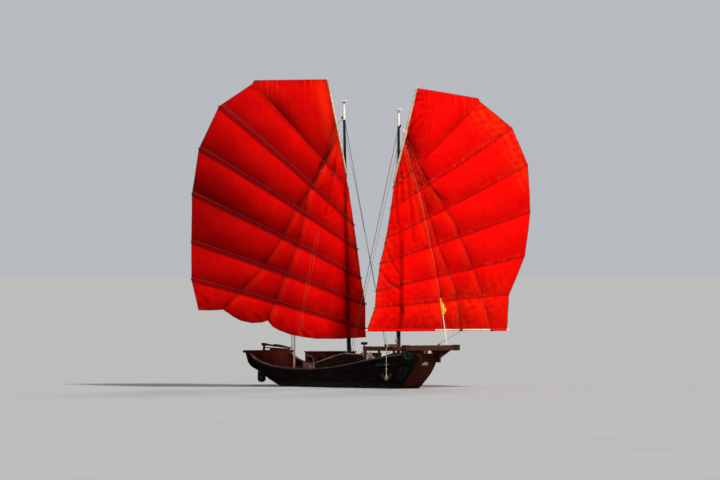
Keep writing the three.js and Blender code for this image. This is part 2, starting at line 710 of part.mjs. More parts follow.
// An upright round bar on the rudder's axis
function onStock(low, high, radius) {
  return rod([STOCK.x, 0, low], [STOCK.x, 0, high], radius, radius, 20);
}
function bracket(low, high, fromX) {
  const arm = block([STOCK.x, -BRACKET.half, low], [fromX, BRACKET.half, high]);
  const body = join(arm, onStock(low, high, BRACKET.boss));
  return cut(body, onStock(low - DECK, high + DECK, STOCK.radius + STOCK.clearance));
}
add("rudder_yoke", bracket(STERN_BEAM.low, STERN_BEAM.high, STERN_BEAM.fromX - GAP), "capWood");
add("rudder_bracket", cut(bracket(BRACKET.low, BRACKET.high, BRACKET.fromX), clearOutside), "capWood");
add("rudder_stock", onStock(STOCK.low, STOCK.high, STOCK.radius), "tarredWood");
function rudderBlade() {
  const { thickness, low, high, cornerCut, rounding } = BLADE;
  const outline = new THREE.Shape();
  const [back, front] = [STOCK.x - BLADE.aft, STOCK.x + BLADE.fore];
  outline.moveTo(front, high);
  outline.lineTo(back + cornerCut, high);
  outline.lineTo(back, low + rounding);
  outline.quadraticCurveTo(back, low, (front + back) / 2, low);
  outline.quadraticCurveTo(front, low, front, low + rounding);
  const plate = new THREE.ExtrudeGeometry(outline, {
    depth: thickness,
    curveSegments: 6,
    bevelEnabled: false,
  });
  plate.rotateX(Math.PI / 2).translate(0, thickness / 2, 0);
  const groove = STOCK.radius + GAP;
  const sleeve = onStock(STOCK.low - SLEEVE.below, high, groove + SLEEVE.thickness);
  return cut(join(plate, sleeve), onStock(STOCK.low - GAP, high + SLEEVE.below, groove));
}
add("rudder_blade", rudderBlade(), "tarredWood");
function tiller() {
  const bar = loft(TILLER_SECTIONS.map(([x, z, share]) => {
    const [w, h] = [TILLER.half * share, TILLER.halfHeight * share];
    return [[x, w, z + h], [x, w, z - h], [x, -w, z - h], [x, -w, z + h]];
  }));
  const [, height] = TILLER_SECTIONS[0];
  const above = 4 * TILLER.halfHeight;
  return cut(bar, onStock(height - above, height + above, STOCK.radius + GAP));
}
add("tiller", tiller(), "tarredWood");

// Anchor hung over the starboard bow by its rope, from a short beam across the rail
const ANCHOR = { x: 3940, y: -1330, eye: 760, arms: 4, elbowAt: 148, tipAt: 270, ropeRadius: 15 };
const ANCHOR_Z = { foot: 380, collar: [360, 500], root: 390, elbow: 400, tip: 560 };
const ANCHOR_RADII = { shank: [22, 18], collar: [48, 40], arm: [22, 19], fluke: [20, 8] };
const ANCHOR_BEAM = { half: 50, fromY: -620, toY: -1400, low: 1796, high: 1890 };
function anchor() {
  const { x, y, eye, arms, elbowAt, tipAt } = ANCHOR;
  const parts = [
    rod([x, y, ANCHOR_Z.foot], [x, y, eye], ...ANCHOR_RADII.shank, 8),
    rod([x, y, ANCHOR_Z.collar[0]], [x, y, ANCHOR_Z.collar[1]], ...ANCHOR_RADII.collar, 10),
  ];
  for (let i = 0; i < arms; i++) {
    const turn = (i * 2 * Math.PI) / arms;
    const out = (far, z) => [x + far * Math.cos(turn), y + far * Math.sin(turn), z];
    const elbow = out(elbowAt, ANCHOR_Z.elbow);
    parts.push(rod([x, y, ANCHOR_Z.root], elbow, ...ANCHOR_RADII.arm, 6));
    parts.push(rod(elbow, out(tipAt, ANCHOR_Z.tip), ...ANCHOR_RADII.fluke, 6));
  }
  return join(...parts);
}
add("anchor", anchor(), "steel");
add("anchor_rope", rod(
  [ANCHOR.x, ANCHOR.y, ANCHOR.eye + GAP],
  [ANCHOR.x, ANCHOR.y, ANCHOR_BEAM.low - GAP],
  ANCHOR.ropeRadius,
  ANCHOR.ropeRadius,
  8,
), "rope");
add("anchor_beam", block(
  [ANCHOR.x - ANCHOR_BEAM.half, ANCHOR_BEAM.toY, ANCHOR_BEAM.low],
  [ANCHOR.x + ANCHOR_BEAM.half, ANCHOR_BEAM.fromY, ANCHOR_BEAM.high],
), "bowWood");

// Flag on its staff at the port end of the bow beam, a lamp on its post, and mooring posts
const STAFF = { x: 5300, y: 870, foot: 1858, top: 3830, footRadius: 21, topRadius: 15, lean: -0.21 };
const staffAt = (z) => [STAFF.x + STAFF.lean * (z - BOW_BEAM.high), STAFF.y, z];
const staff = rod(staffAt(STAFF.foot), staffAt(STAFF.top), STAFF.footRadius, STAFF.topRadius, 10);
add("flag_staff", staff, "rope");
// Pennant corners: distance below the staff's top, distance from the staff
const PENNANT = { corners: [[20, 26], [430, 240], [700, 70], [560, 30]], thickness: 8 };
function pennant() {
  const corners = PENNANT.corners.map(([down, out]) => {
    const [x, , z] = staffAt(STAFF.top - down);
    return new THREE.Vector2(x + out, z);
  });
  const cloth = new THREE.ExtrudeGeometry(new THREE.Shape(corners.reverse()), {
    depth: PENNANT.thickness,
    bevelEnabled: false,
  });
  return cloth.rotateX(Math.PI / 2).translate(0, STAFF.y + PENNANT.thickness / 2, 0);
}
add("pennant", pennant(), "flag");

// A timber centred on a place, with half its length and half its breadth, from one height to another
function upright(x, y, halfLength, half, low, high) {
  return block([x - halfLength, y - half, low], [x + halfLength, y + half, high]);
}

const LAMP = { x: 2060, y: -1050, post: 22, boxLength: 150, boxHalf: 60, low: 1860, high: 1960, lap: 10 };
function lampPost() {
  const { x, y, post, boxLength, boxHalf, low, high, lap } = LAMP;
  const pole = upright(x, y, post, post, foreDeckTop(x) - DECK, low + lap);
  return cut(join(pole, upright(x, y, boxLength, boxHalf, low, high)), belowForeDeck);
}
add("lamp_post", lampPost(), "mast");

// Heights are above the deck
const BITT = { x: 4250, y: 430, half: 55, high: 420 };
const BITT_BAR = { halfLength: 40, half: 190, low: 260, high: 330 };
for (const [sideName, side] of [["starboard", -1], ["port", 1]]) {
  const { x, half, high } = BITT;
  const y = side * BITT.y;
  const deck = foreDeckTop(x);
  const post = upright(x, y, half, half, deck - DECK, deck + high);
  const bar = upright(x, y, BITT_BAR.halfLength, BITT_BAR.half, deck + BITT_BAR.low, deck + BITT_BAR.high);
  add("mooring_post_" + sideName, cut(join(post, bar), belowForeDeck), "bowWood");
}

export default boat;
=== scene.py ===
# A two-masted batten-sailed junk: its cloth, ropes, timber and fittings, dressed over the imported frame.
# Metres. +X is the bow, +Y is port, +Z is up, and z = 0 is the water's surface.
import bisect
import math

import bmesh
import bpy
import numpy as np
from mathutils import Matrix, Vector


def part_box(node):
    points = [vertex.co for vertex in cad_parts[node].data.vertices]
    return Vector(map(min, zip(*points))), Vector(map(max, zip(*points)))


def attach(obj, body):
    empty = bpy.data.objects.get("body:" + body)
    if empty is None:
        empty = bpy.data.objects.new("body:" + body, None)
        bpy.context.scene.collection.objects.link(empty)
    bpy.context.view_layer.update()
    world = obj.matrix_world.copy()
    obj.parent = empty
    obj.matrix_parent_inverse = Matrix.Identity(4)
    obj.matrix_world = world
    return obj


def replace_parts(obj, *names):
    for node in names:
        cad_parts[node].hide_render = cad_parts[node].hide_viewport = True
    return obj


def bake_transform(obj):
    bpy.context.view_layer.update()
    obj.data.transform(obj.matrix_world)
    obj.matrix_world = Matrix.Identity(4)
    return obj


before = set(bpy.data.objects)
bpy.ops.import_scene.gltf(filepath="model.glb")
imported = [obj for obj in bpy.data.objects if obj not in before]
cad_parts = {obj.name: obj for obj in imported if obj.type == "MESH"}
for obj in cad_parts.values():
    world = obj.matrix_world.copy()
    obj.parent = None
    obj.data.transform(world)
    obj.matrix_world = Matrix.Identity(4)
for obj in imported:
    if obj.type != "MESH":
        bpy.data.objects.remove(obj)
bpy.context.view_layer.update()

TURN = 2 * math.pi

# Camera: where the photograph was taken from
PHOTO_WIDTH = 720
PHOTO_MIDDLE = (360, 240)
METRES_PER_PIXEL = 0.043
CAMERA_DISTANCE = 300.0
HORIZON_ROW = 254
MAST_AT_WATER = (349.6, 387.0)
HEADING = math.radians(52)
SENSOR = 36.0

# The raked ends of the hull: height, then how far forward the end stands there
STERN_PROFILE = (
    (-0.7, -2.45), (-0.25, -3.4), (0.04, -4.07), (0.48, -4.97), (0.72, -5.48), (1.02, -5.8), (1.42, -6.05),
)
BOW_PROFILE = (
    (-0.7, 2.3), (-0.25, 3.48), (0.08, 3.95), (0.4, 4.29), (0.61, 4.52), (0.89, 4.75), (1.31, 4.99),
    (1.62, 5.09),
)
# Hull stations: share of the length from stern to bow, half breadth, sheer height, keel height, fullness
STATIONS = (
    (0.0, 1.13, 1.42, -0.2, 4.2),
    (0.045, 1.17, 1.09, -0.25, 4.0),
    (0.09, 1.2, 0.94, -0.31, 3.7),
    (0.19, 1.3, 0.81, -0.45, 3.1),
    (0.35, 1.42, 0.755, -0.58, 2.8),
    (0.5, 1.47, 0.8, -0.63, 2.7),
    (0.65, 1.44, 0.95, -0.61, 2.6),
    (0.78, 1.29, 1.18, -0.53, 2.6),
    (0.89, 0.98, 1.375, -0.4, 2.8),
    (1.0, 0.58, 1.5, -0.25, 3.4),
)
PLANKING = 0.06
MAIN_DECK_TOP = 0.6
FORE_DECK_DROP = 0.09
DECK_STEP_X = 1.65

# Masts: foot on the centreline, rake aft in degrees, heights of foot and head, radius at deck and head,
# and the height from which they are white
MASTS = {
    "main": dict(
        x=-0.3, rake=2.0, foot=0.6, head=12.33, deck_radius=0.088, head_radius=0.052, white_from=11.5,
    ),
    "fore": dict(
        x=3.1, rake=0.0, foot=1.18, head=11.9, deck_radius=0.085, head_radius=0.05, white_from=11.16,
    ),
}
STAND_OFF = 0.215
YARD_SHORTER = 0.1
# The foresail's boom: its ends, as distance aft of the mast and height, and the stretches of it that run
# through a sleeve of the cloth
BOOM = ((-1.64, 2.476), (5.05, 2.470))
BOOM_RADIUS = 0.041
SLEEVES = ((-1.53, 1.60), (4.16, 4.93))
CLOTH = 0.008
# What the hems take, as a factor on the area
HEMS = 1.02
BATTEN_RADIUS = 0.034
BATTEN_OVERHANG = 0.06

# Rows of a sail, head first: luff aft of the mast, luff height, leech aft of the mast, leech height, belly
MAIN_ROWS = np.array([
    (0.776, 13.23, 3.92, 13.23, 0.09),
    (-0.086, 8.45, 3.96, 13.11, 0.24),
    (-0.27, 7.0, 5.47, 12.14, 0.34),
    (-0.4, 5.95, 6.38, 10.34, 0.38),
    (-0.53, 4.69, 6.72, 8.4, 0.38),
    (-0.7, 3.57, 6.79, 6.34, 0.35),
    (-0.68, 2.52, 6.82, 4.73, 0.3),
    (-0.7, 2.14, 6.54, 3.42, 0.26),
])
FORE_ROWS = np.array([
    (0.792, 12.78, 3.62, 12.37, 0.09),
    (-0.33, 8.56, 3.66, 12.26, 0.24),
    (-0.45, 7.68, 5.2, 11.12, 0.34),
    (-0.68, 6.4, 5.93, 9.54, 0.38),
    (-0.95, 5.33, 6.05, 7.52, 0.37),
    (-1.13, 4.18, 5.79, 5.63, 0.33),
    (-1.19, 3.44, 5.05, 3.98, 0.24),
    (-1.55, 2.59, 4.95, 2.61, 0.11),
])
# Foot of the cloth: distance aft of the mast, height. The main's hangs in scallops between its lifts
MAIN_FOOT = (
    (-0.7, 2.13), (0.44, 2.08), (1.53, 2.1), (2.2, 2.2), (2.64, 2.3), (3.08, 2.47), (3.42, 2.66), (3.6, 2.92),
    (3.85, 2.84), (4.3, 2.82), (4.75, 2.93), (5.1, 3.12), (5.5, 3.42), (6.0, 3.4), (6.54, 3.42),
)
FORE_FOOT = ((-1.55, 2.510), (0.0, 2.505), (1.5, 2.505), (3.5, 2.510), (4.95, 2.515))
# Where the lifts press a crease into the cloth: distance aft of the mast, height
MAIN_LIFTS = (
    (
        (0.35, 11.5), (1.0, 9.75), (1.5, 8.7), (2.34, 7.5), (2.89, 6.48), (3.77, 5.17), (4.75, 4.18),
        (5.5, 3.42),
    ),
    (
        (0.3, 11.4), (0.8, 9.9), (1.32, 8.98), (1.74, 8.35), (1.91, 7.36), (2.28, 6.04), (2.8, 4.83),
        (3.6, 2.92),
    ),
)
FORE_LIFTS = (
    ((0.1, 10.9), (0.7, 8.87), (1.12, 7.38), (1.59, 5.89), (2.38, 4.18), (2.73, 2.6)),
    ((0.25, 10.6), (0.9, 9.1), (1.5, 8.2), (2.19, 7.17), (2.89, 5.68), (3.59, 4.18), (4.14, 2.62)),
    ((0.1, 10.8), (0.45, 9.3), (0.8, 8.02), (1.36, 5.38), (1.73, 3.54), (1.87, 2.6)),
)
# Wrinkles that fan out from where the yard hangs: their paths as above, then half width, depth and painted
# shade, which also sets a painted highlight beside each
MAIN_WRINKLES = (
    (((0.37, 10.73), (0.8, 10.0), (1.15, 9.45)), 0.09, 0.05, 0.55),
    (((0.2, 10.9), (0.45, 9.9), (0.6, 9.1)), 0.07, 0.03, 0.25),
    (((0.5, 9.6), (0.8, 8.4), (1.0, 7.4)), 0.07, 0.025, 0.2),
)
FORE_WRINKLES = (
    (((0.1, 10.8), (-0.02, 9.4), (0.0, 8.0)), 0.06, 0.03, 0.22),
    (((0.2, 10.6), (0.4, 9.3), (0.62, 8.3)), 0.06, 0.03, 0.2),
    (((0.1, 9.9), (0.28, 8.7), (0.4, 7.3), (0.45, 6.2)), 0.07, 0.03, 0.2),
    (((0.3, 9.0), (0.7, 7.6), (0.95, 6.6)), 0.07, 0.03, 0.18),
    (((-0.2, 9.2), (-0.25, 8.0), (-0.2, 7.0)), 0.06, 0.025, 0.18),
    (((0.9, 8.9), (1.35, 8.35), (1.9, 8.0)), 0.08, 0.025, 0.2),
    (((-0.75, 6.2), (-0.5, 5.4), (-0.2, 4.9)), 0.06, 0.03, 0.2),
    (((-0.95, 5.0), (-0.6, 4.5), (-0.15, 4.2)), 0.06, 0.03, 0.2),
    (((0.24, 10.77), (0.61, 10.28), (0.77, 9.74)), 0.04, 0.010, 0.16),
    (((0.24, 9.9), (0.48, 9.21), (0.65, 8.57)), 0.04, 0.010, 0.16),
    (((0.44, 9.21), (0.8, 9.08), (1.19, 8.87)), 0.04, 0.012, 0.2),
    (((0.9, 9.33), (1.15, 8.87)), 0.04, 0.010, 0.2),
    (((-0.01, 9.21), (0.19, 8.78), (0.4, 8.34)), 0.04, 0.010, 0.16),
    (((0.65, 8.79), (1.19, 8.34), (1.36, 7.96)), 0.04, 0.012, 0.2),
    (((0.82, 8.11), (0.98, 7.85), (1.31, 7.65)), 0.04, 0.010, 0.2),
    (((-0.55, 6.32), (-0.18, 5.79)), 0.04, 0.010, 0.16),
)
# Painted shadows, dark spots where something bears on the cloth: place, height, half its width, half its
# height, shade
MAIN_KNOT_SHADOWS = ((0.12, 3.15, 0.10, 0.22, 0.5), (0.10, 4.85, 0.10, 0.16, 0.35), (0.09, 3.72, 0.10, 0.12, 0.35))
FORE_KNOT_SHADOWS = ((0.02, 3.35, 0.085, 0.17, 0.75), (-0.06, 4.4, 0.09, 0.08, 0.35))
# Each sail also carries painted shade and painted light in its colour: a dark band and a painted shadow line
# along each batten with a tape colour beside it that is partly a painted highlight, shade in the hollows of
# the folds at head and luff, shade along the lifts' creases and on one side of them with a painted highlight
# on the other, the mast's painted shadow through the cloth, painted shadows where knots bear on it, each
# panel darker towards the batten below and the leech darker at mid height, and painted sunlit bands along
# luff and leech.
SAILS = {
    "main": dict(
        name="main", body="main_rig", set=-62, side=1, rows=MAIN_ROWS, foot=MAIN_FOOT, lifts=MAIN_LIFTS,
        yard=((-0.01, 9.15), (0.76, 13.42)), flat=(9.3, 12.3), billow=0.115,
        head_folds=(0.24, 0.6, 0.008, 0.08), luff_folds=(0.26, 0.5, 0.010, 0.10),
        lift_press=(0.10, 0.07, 0.30, 0.014), mast_shadow=(0.08, 9.0, 0.095, 0.74), panel_shade=0.56,
        leech_shade=0.44, batten_dark=0.12, wrinkles=MAIN_WRINKLES, seam_and_shadow=(-0.066, 0.046, 0.66),
        pocket_and_highlight=(0.076, 0.034, 0.85), first_batten=0.25, knots=MAIN_KNOT_SHADOWS, relief=0.004,
        lit_luff=((0.30, 0.28, 0.0, 0.9, 0.9), (0.16, 0.16, 1.4, 4.6, 0.9)),
        lit_leech=((0.5, 0.6, -1, 1.2, 0.25),),
    ),
    "fore": dict(
        name="fore", body="fore_rig", set=105, side=-1, rows=FORE_ROWS, foot=FORE_FOOT, lifts=FORE_LIFTS,
        yard=((-0.33, 8.75), (0.79, 12.96)), flat=(8.7, 11.6), billow=0.085,
        head_folds=(0.25, 0.5, 0.010, 0.08), luff_folds=(0.30, 0.6, 0.022, 0.48),
        lift_press=(0.06, 0.04, 0.32, 0.010), mast_shadow=(-0.05, 7.0, 0.09, 0.46), panel_shade=0.20,
        leech_shade=0.0, batten_dark=0.06, wrinkles=FORE_WRINKLES, seam_and_shadow=(-0.022, 0.026, 0.34),
        pocket_and_highlight=(0.085, 0.065, 0.42), first_batten=1.0, knots=FORE_KNOT_SHADOWS, relief=0.0015,
        lit_luff=((0.1, 0.2, 3.0, 7.0, 0.3),),
        lit_leech=((0.25, 0.42, 0.7, 3.6, 0.8), (2.2, 2.4, 5.3, 8.0, 0.45)),
    ),
}


# Curves through tables

def through(table):
    """A smooth curve through a table whose first column is the place; past its ends it stays level."""
    places = [row[0] for row in table]
    values = np.array([row[1:] for row in table], float)

    def at(place):
        if place <= places[0]:
            return values[0]
        if place >= places[-1]:
            return values[-1]
        i = bisect.bisect_right(places, place)
        start, end = places[i - 1], places[i]
        half = (end - start) / 2
        before, after = i, i - 1
        w0 = w1 = -0.5
        if i >= 2:
            before = i - 2
            w0 = half / (start - places[i - 2])
        if i + 1 < len(places):
            after = i + 1
            w1 = half / (places[i + 1] - end)
        p = (place - start) / (end - start)
        p2, p3 = p * p, p * p * p
        a = -w0 * p3 + 2 * w0 * p2 - w0 * p
        b = (1 + w0) * p3 + (-1.5 - 2 * w0) * p2 + (-0.5 + w0) * p + 1
        c = (-1 - w1) * p3 + (1.5 + w1) * p2 + 0.5 * p
        d = w1 * p3 - w1 * p2
        return a * values[before] + b * values[i - 1] + c * values[i] + d * values[after]

    return at


stern_at = through(STERN_PROFILE)
bow_at = through(BOW_PROFILE)
station_at = through(STATIONS)


def hull_x(share, z, grow=0.0):
    stern = stern_at(z)[0] - grow
    bow = bow_at(z)[0] + grow
    return stern + share * (bow - stern)


def sheer_share(x):
    """The share of the length at which the sheer reaches a place along the boat."""
    share = 0.5
    for _ in range(30):
        z = station_at(share)[1]
        share = min(1.0, max(0.0, (x - stern_at(z)[0]) / (bow_at(z)[0] - stern_at(z)[0])))
    return share


def breadth_at(share, z, grow=0.0):
    half, sheer, keel, fullness = station_at(share)
    down = min(1.0, max(0.0, (sheer - z) / (sheer - keel + grow)))
    return (half + grow) * (1 - down ** fullness) ** (1 / fullness)


def share_at(x, z, grow=0.0):
    stern = hull_x(0, z, grow)
    return (x - stern) / (bow_at(z)[0] + grow - stern)


def inner_half(x, z):
    """Half the clear breadth between the planking at a place and a height."""
    share = share_at(x, z, -PLANKING)
    return breadth_at(share, z, -PLANKING) if 0 < share < 1 else 0.0


def fore_deck_top(x):
    return station_at(sheer_share(x))[1] - FORE_DECK_DROP


def spaced(points, step):
    """Points a step apart along a smooth curve through the given ones."""
    points = np.array(points, float)
    if len(points) > 2:
        n = len(points)
        ends = np.vstack([2 * points[0] - points[1], points, 2 * points[-1] - points[-2]])
        t = np.linspace(0, 1, 12, endpoint=False)[:, None]
        curve = []
        for i in range(n - 1):
            a, b, c, d = ends[i:i + 4]
            curve.append(0.5 * (2 * b + (c - a) * t + (2 * a - 5 * b + 4 * c - d) * t**2
                                + (3 * b - a - 3 * c + d) * t**3))
        points = np.vstack([*curve, points[-1:]])
    way = np.concatenate([[0], np.cumsum(np.linalg.norm(np.diff(points, axis=0), axis=1))])
    count = max(2, int(way[-1] / step) + 1)
    at = np.linspace(0, way[-1], count)
    return np.stack([np.interp(at, way, points[:, k]) for k in range(3)], axis=1)


def ripple(a, b, size, seed):
    """Soft unevenness between -1 and 1 over a surface, about size across, the same on every run."""
    chance = np.random.RandomState(seed)
    total = np.zeros_like(a)
    for _ in range(7):
        angle, phase = chance.uniform(0, TURN, 2)
        wave = size * chance.uniform(0.6, 1.6)
        total += np.sin((a * math.cos(angle) + b * math.sin(angle)) * TURN / wave + phase)
    return total / 4.0


# Meshes

PLATE_SUNK = 0.004
PATCH_SUNK = 0.006


def piece(name, points, faces, material, body, slot=None, smooth=True, replaces=None):
    """A mesh object that rides on a body, in place of a node of the frame where one is named."""
    mesh = bpy.data.meshes.new(name)
    faces = [tuple(int(i) for i in face) for face in faces]
    mesh.from_pydata([tuple(p) for p in np.asarray(points, float)], [], faces)
    mesh.validate()
    mesh.polygons.foreach_set("use_smooth", [smooth] * len(mesh.polygons))
    made = bpy.data.objects.new(name, mesh)
    bpy.context.scene.collection.objects.link(made)
    for one in material if isinstance(material, (list, tuple)) else [material]:
        mesh.materials.append(one)
    if body:
        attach(made, body)
    if replaces:
        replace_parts(made, replaces)
    return made


def joined(name, parts, material, slot, body="hull", smooth=True):
    """Several (points, faces) as one piece."""
    return piece(name, *gather(parts), material, body, slot, smooth)


def gather(parts):
    """Several (points, faces) as one."""
    points, faces, start = [], [], 0
    for some, polygons in parts:
        points.append(np.asarray(some, float))
        faces += [[start + i for i in f] for f in polygons]
        start += len(some)
    return np.vstack(points), faces


def grid_faces(rows, columns, start=0):
    """The faces between points laid row by row, columns + 1 in each of rows + 1 rows."""
    wide = columns + 1
    corners = (start + r * wide + c for r in range(rows) for c in range(columns))
    return [(a, a + 1, a + 1 + wide, a + wide) for a in corners]


def sweep(path, section, twist=0.0, grow=None, closed=False):
    """A section, as points across the path, carried along it and turned by twist at each step."""
    path = np.asarray(path, float)
    section = np.asarray(section, float)
    n, m = len(path), len(section)
    if closed:
        way = np.roll(path, -1, axis=0) - np.roll(path, 1, axis=0)
    else:
        way = np.gradient(path, axis=0)
    way /= np.linalg.norm(way, axis=1)[:, None]
    aside = np.cross(way[0], (0, 0, 1.0) if abs(way[0][2]) < 0.9 else (1.0, 0, 0))
    points = []
    for i in range(n):
        aside = aside - way[i] * (aside @ way[i])
        aside /= np.linalg.norm(aside)
        over = np.cross(way[i], aside)
        c, s = math.cos(twist * i), math.sin(twist * i)
        size = 1.0 if grow is None else grow[i]
        x = (section[:, 0] * c - section[:, 1] * s) * size
        y = (section[:, 0] * s + section[:, 1] * c) * size
        points.append(path[i] + x[:, None] * aside + y[:, None] * over)
    faces = []
    for i in range(n if closed else n - 1):
        a, b = i * m, ((i + 1) % n) * m
        for k in range(m):
            j = (k + 1) % m
            faces.append((a + k, a + j, b + j, b + k))
    if not closed:
        faces.append(tuple(range(m))[::-1])
        faces.append(tuple((n - 1) * m + k for k in range(m)))
    return np.vstack(points), faces


def ring_section(radius, sides=12):
    """Points round a circle."""
    at = np.linspace(0, TURN, sides, endpoint=False)
    return np.stack([np.cos(at) * radius, np.sin(at) * radius], axis=1)


def pole(path, radius, sides=16, grow=None, closed=False):
    return sweep(path, ring_section(radius, sides), grow=grow, closed=closed)


def laid_rope(path, radius, closed=False):
    """A rope of three strands along a path; its points should be about two radii apart."""
    at = np.linspace(0, TURN, 9, endpoint=False)
    reach = radius * (0.86 + 0.14 * np.cos(3 * at))
    section = np.stack([np.cos(at) * reach, np.sin(at) * reach], axis=1)
    return sweep(path, section, twist=0.75, closed=closed)


def rope(name, points, radius, material, body, slot, detail=2.0):
    path = spaced(points, radius * detail)
    return piece(name, *laid_rope(path, radius), material, body, slot)


def block(low, high, edge=0.006):
    """A timber with eased edges between two corners: (points, faces)."""
    low, high = np.minimum(low, high), np.maximum(low, high)
    edge = min(edge, 0.4 * min(high - low))
    points = []
    for corner in np.ndindex(2, 2, 2):
        for axis in range(3):
            at = [high[k] - edge if corner[k] else low[k] + edge for k in range(3)]
            at[axis] = high[axis] if corner[axis] else low[axis]
            points.append(at)

    def index(places, which):
        """The point of a corner, given as {axis: end}, that lies on a side."""
        return ((places[0] * 2 + places[1]) * 2 + places[2]) * 3 + which

    faces = []
    for axis in range(3):
        u, v = [k for k in range(3) if k != axis]
        for side in (0, 1):
            faces.append([index({axis: side, u: a, v: b}, axis) for a, b in ((0, 0), (1, 0), (1, 1), (0, 1))])
        for a, b in ((0, 0), (0, 1), (1, 0), (1, 1)):
            around = ((0, u), (0, v), (1, v), (1, u))
            faces.append([index({axis: end, u: a, v: b}, which) for end, which in around])
    for corner in np.ndindex(2, 2, 2):
        faces.append([index(corner, axis) for axis in range(3)])
    return np.array(points), outward(points, faces)


def strip(path, width, height):
    """A flat bar with eased edges along a path: its size across the path and at right angles to that."""
    w, h = width / 2, height / 2
    c = 0.2 * min(w, h)
    half = [(w, c - h), (w, h - c), (w - c, h), (c - w, h)]
    return sweep(path, half + [(-x, -y) for x, y in half])


def timbers(name, boxes, material, slot, edge=0.006):
    """Eased blocks, each given by two corners, as one piece."""
    return joined(name, [block(low, high, edge) for low, high in boxes], material, slot, smooth=False)


def plate(name, outline, surface, material, slot, hole=None, rise=0.006):
    """A thin plate on a surface, from an outline on it, or a ring where hole is its inner outline."""
    n = len(outline)
    loops = [(outline, rise), (outline, -PLATE_SUNK)]
    if hole is not None:
        loops += [(hole, rise), (hole, -PLATE_SUNK)]
    points = [surface(a, b, lift) for loop, lift in loops for a, b in loop]
    faces = []
    for i in range(n):
        j = (i + 1) % n
        faces.append((i, j, n + j, n + i))
        if hole is None:
            faces += [(2 * n, i, j), (2 * n + 1, n + i, n + j)]
        else:
            faces += [(i, j, 2 * n + j, 2 * n + i), (n + i, n + j, 3 * n + j, 3 * n + i)]
            faces.append((2 * n + i, 2 * n + j, 3 * n + j, 3 * n + i))
    if hole is None:
        middle = np.mean(np.array(outline, float), axis=0)
        points += [surface(*middle, rise), surface(*middle, -PLATE_SUNK)]
    return even(piece(name, points, faces, material, "hull", slot, smooth=False))


def patch(name, rows, surface, material, slot, rise=0.009, columns=14, fineness=14):
    """A plate that follows a curved surface: rows of height, start and end along it."""
    heights = np.linspace(rows[0][0], rows[-1][0], fineness)
    table = np.array(rows, float)
    starts, ends = (np.interp(heights, table[:, 0], table[:, k]) for k in (1, 2))
    points = []
    for lift in (rise, -PATCH_SUNK):
        for z, start, end in zip(heights, starts, ends):
            points += [surface(a, z, lift) for a in np.linspace(start, end, columns)]
    n = columns * fineness
    upper = grid_faces(fineness - 1, columns - 1)
    faces = [tuple(under + v for v in face) for face in upper for under in (0, n)]
    rim = [*range(columns), *range(2 * columns - 1, n, columns), *range(n - 2, n - columns - 1, -1)]
    rim += range(n - 2 * columns, 0, -columns)
    faces += [(a, b, n + b, n + a) for a, b in zip(rim, rim[1:] + rim[:1])]
    return even(piece(name, points, faces, material, "hull", slot, smooth=False))


def oval(middle, half, steps=48, start=0.0, end=TURN):
    at = np.linspace(start, end, steps, endpoint=end - start < TURN - 0.01)
    return [(middle[0] + half[0] * math.cos(a), middle[1] + half[1] * math.sin(a)) for a in at]


def outward(points, faces):
    """The faces of a convex body, each turned to face out."""
    points = np.asarray(points, float)
    middle = points.mean(0)
    turned = []
    for face in faces:
        p = points[list(face)]
        normal = sum(np.cross(p[i] - p[0], p[i + 1] - p[0]) for i in range(1, len(p) - 1))
        turned.append(list(face) if normal @ (p.mean(0) - middle) > 0 else list(face)[::-1])
    return turned


def moved(part, matrix):
    """A part turned and placed by a matrix."""
    points, faces = part
    turn = np.array(matrix, float)
    return np.asarray(points, float) @ turn[:3, :3].T + turn[:3, 3], faces


def even(made):
    """Turns all the faces of a closed piece outwards."""
    mesh = bmesh.new()
    mesh.from_mesh(made.data)
    bmesh.ops.recalc_face_normals(mesh, faces=mesh.faces)
    mesh.to_mesh(made.data)
    mesh.free()
    return made


# Materials

CLOTH_WIDTH = 0.62
SEAM_SHARE = 0.03


